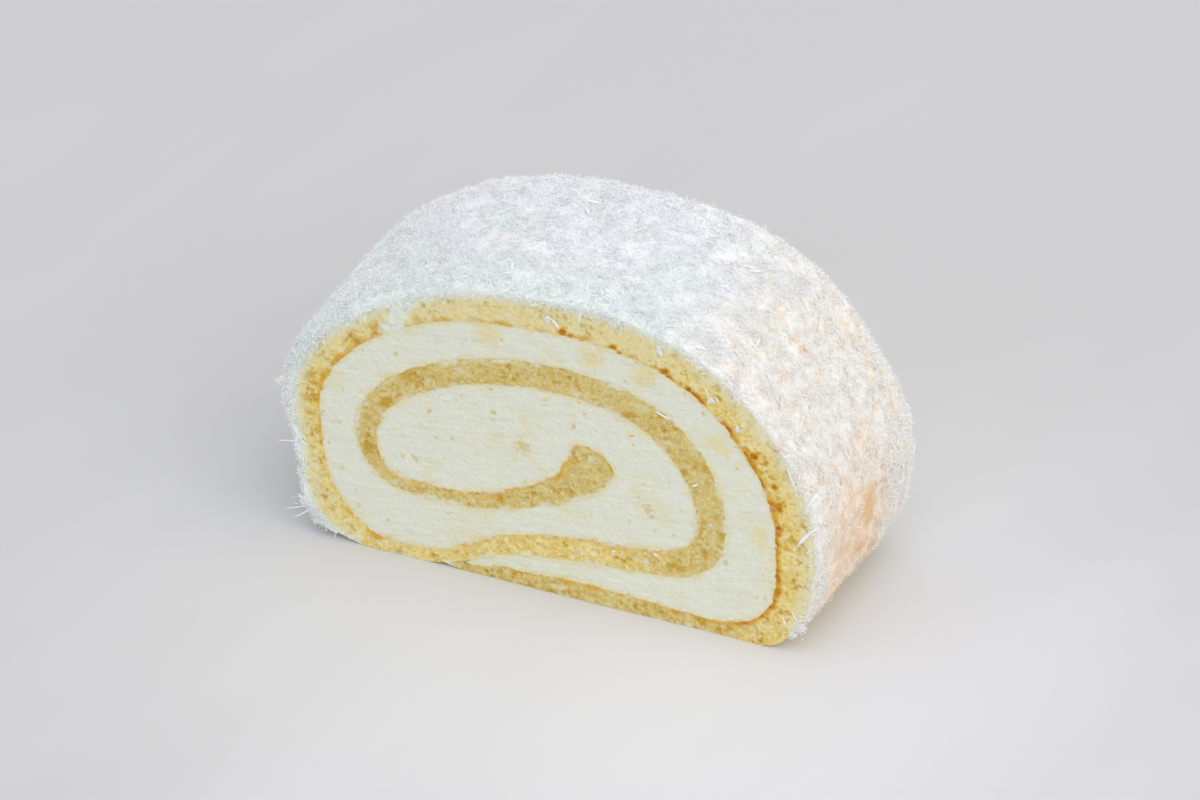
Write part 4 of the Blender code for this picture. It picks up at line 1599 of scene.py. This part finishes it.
def add_area_light(name, direction, distance, size, power):
    data = bpy.data.lights.new(name, "AREA")
    data.shape = "DISK"
    data.size = size
    data.energy = power
    light = add_object(name, data)
    light.location = direction.normalized() * distance
    light.rotation_euler = direction.to_track_quat("Z", "Y").to_euler()


def add_floor(look):
    mesh = bpy.data.meshes.new("floor")
    corners = [(x * FLOOR_REACH, y * FLOOR_REACH, 0) for x, y in ((-1, -1), (1, -1), (1, 1), (-1, 1))]
    mesh.from_pydata(corners, [], [(0, 1, 2, 3)])
    material = bpy.data.materials.new("pale_cloth")
    material.use_nodes = True
    shader = material.node_tree.nodes["Principled BSDF"]
    shader.inputs["Roughness"].default_value = 0.85
    tree = Tree(material.node_tree)
    # Painted light: a pool of light near the slice, fading to painted shade further off and in the folds of
    # the cloth
    values = {0: tree.place(), 1: LIGHT_POOL_PLACE}
    distance = tree.add("ShaderNodeVectorMath", {"operation": "DISTANCE"}, values, "Value")
    fold_shade = tree.grain(FOLD_SHADE_SIZE, tree.place((4, 1, 1), (0, 0, FOLD_SHADE_TURN)), 2.0)
    shade = tree.mix(distance.between(*LIGHT_POOL_REACH) * 0.8 + fold_shade * 0.4, look.lit_floor_colour, look.shaded_floor_colour)
    tree.links.new(shade.socket, shader.inputs["Base Color"])
    mesh.materials.append(material)
    floor = add_object("floor", mesh)
    floor.location.z = -FLOOR_DROP


class SWISSROLL_OT_stage(bpy.types.Operator):
    """Make the pale cloth, the soft studio light and the camera"""

    bl_idname = "swissroll.stage"
    bl_label = "Stage"

    def execute(self, context):
        look = context.scene.swiss_roll.stage
        add_floor(look)
        add_area_light("key_light", KEY_DIRECTION, KEY_DISTANCE, KEY_SIZE, look.key_power)
        world = bpy.data.worlds.new("soft_studio")
        world.use_nodes = True
        sky = world.node_tree.nodes["Background"]
        sky.inputs["Color"].default_value = (1, 1, 1, 1)
        sky.inputs["Strength"].default_value = look.sky_strength
        context.scene.world = world
        context.scene.view_settings.view_transform = "Standard"
        add_camera()
        return {"FINISHED"}


class SWISSROLL_PT_panel(bpy.types.Panel):
    """Lists the pieces of the slice"""

    bl_label = "Swiss Roll"
    bl_idname = "SWISSROLL_PT_panel"
    bl_space_type = "VIEW_3D"
    bl_region_type = "UI"
    bl_category = "Swiss Roll"

    def draw(self, context):
        look = context.scene.swiss_roll
        self.layout.prop(look, "seed")
        for operator in PIECES:
            self.layout.operator(operator.bl_idname)
        for part in (look.sponge, look.cream, look.coconut, look.stage):
            box = self.layout.box()
            for name in part.__annotations__:
                box.prop(part, name)


PIECES = (
    SWISSROLL_OT_sponge,
    SWISSROLL_OT_cream,
    SWISSROLL_OT_coat,
    SWISSROLL_OT_coconut,
    SWISSROLL_OT_bits,
    SWISSROLL_OT_stage,
)
CLASSES = (SpongeLook, CreamLook, CoconutLook, StageLook, SwissRollLook, *PIECES, SWISSROLL_PT_panel)


def register():
    for cls in CLASSES:
        bpy.utils.register_class(cls)
    bpy.types.Scene.swiss_roll = PointerProperty(type=SwissRollLook)


def unregister():
    del bpy.types.Scene.swiss_roll
    for cls in reversed(CLASSES):
        bpy.utils.unregister_class(cls)


def main():
    register()
    bpy.ops.swissroll.sponge()
    bpy.ops.swissroll.cream()
    bpy.ops.swissroll.coat()
    bpy.ops.swissroll.coconut()
    bpy.ops.swissroll.bits()
    bpy.ops.swissroll.stage()


if __name__ == "__main__":
    main()
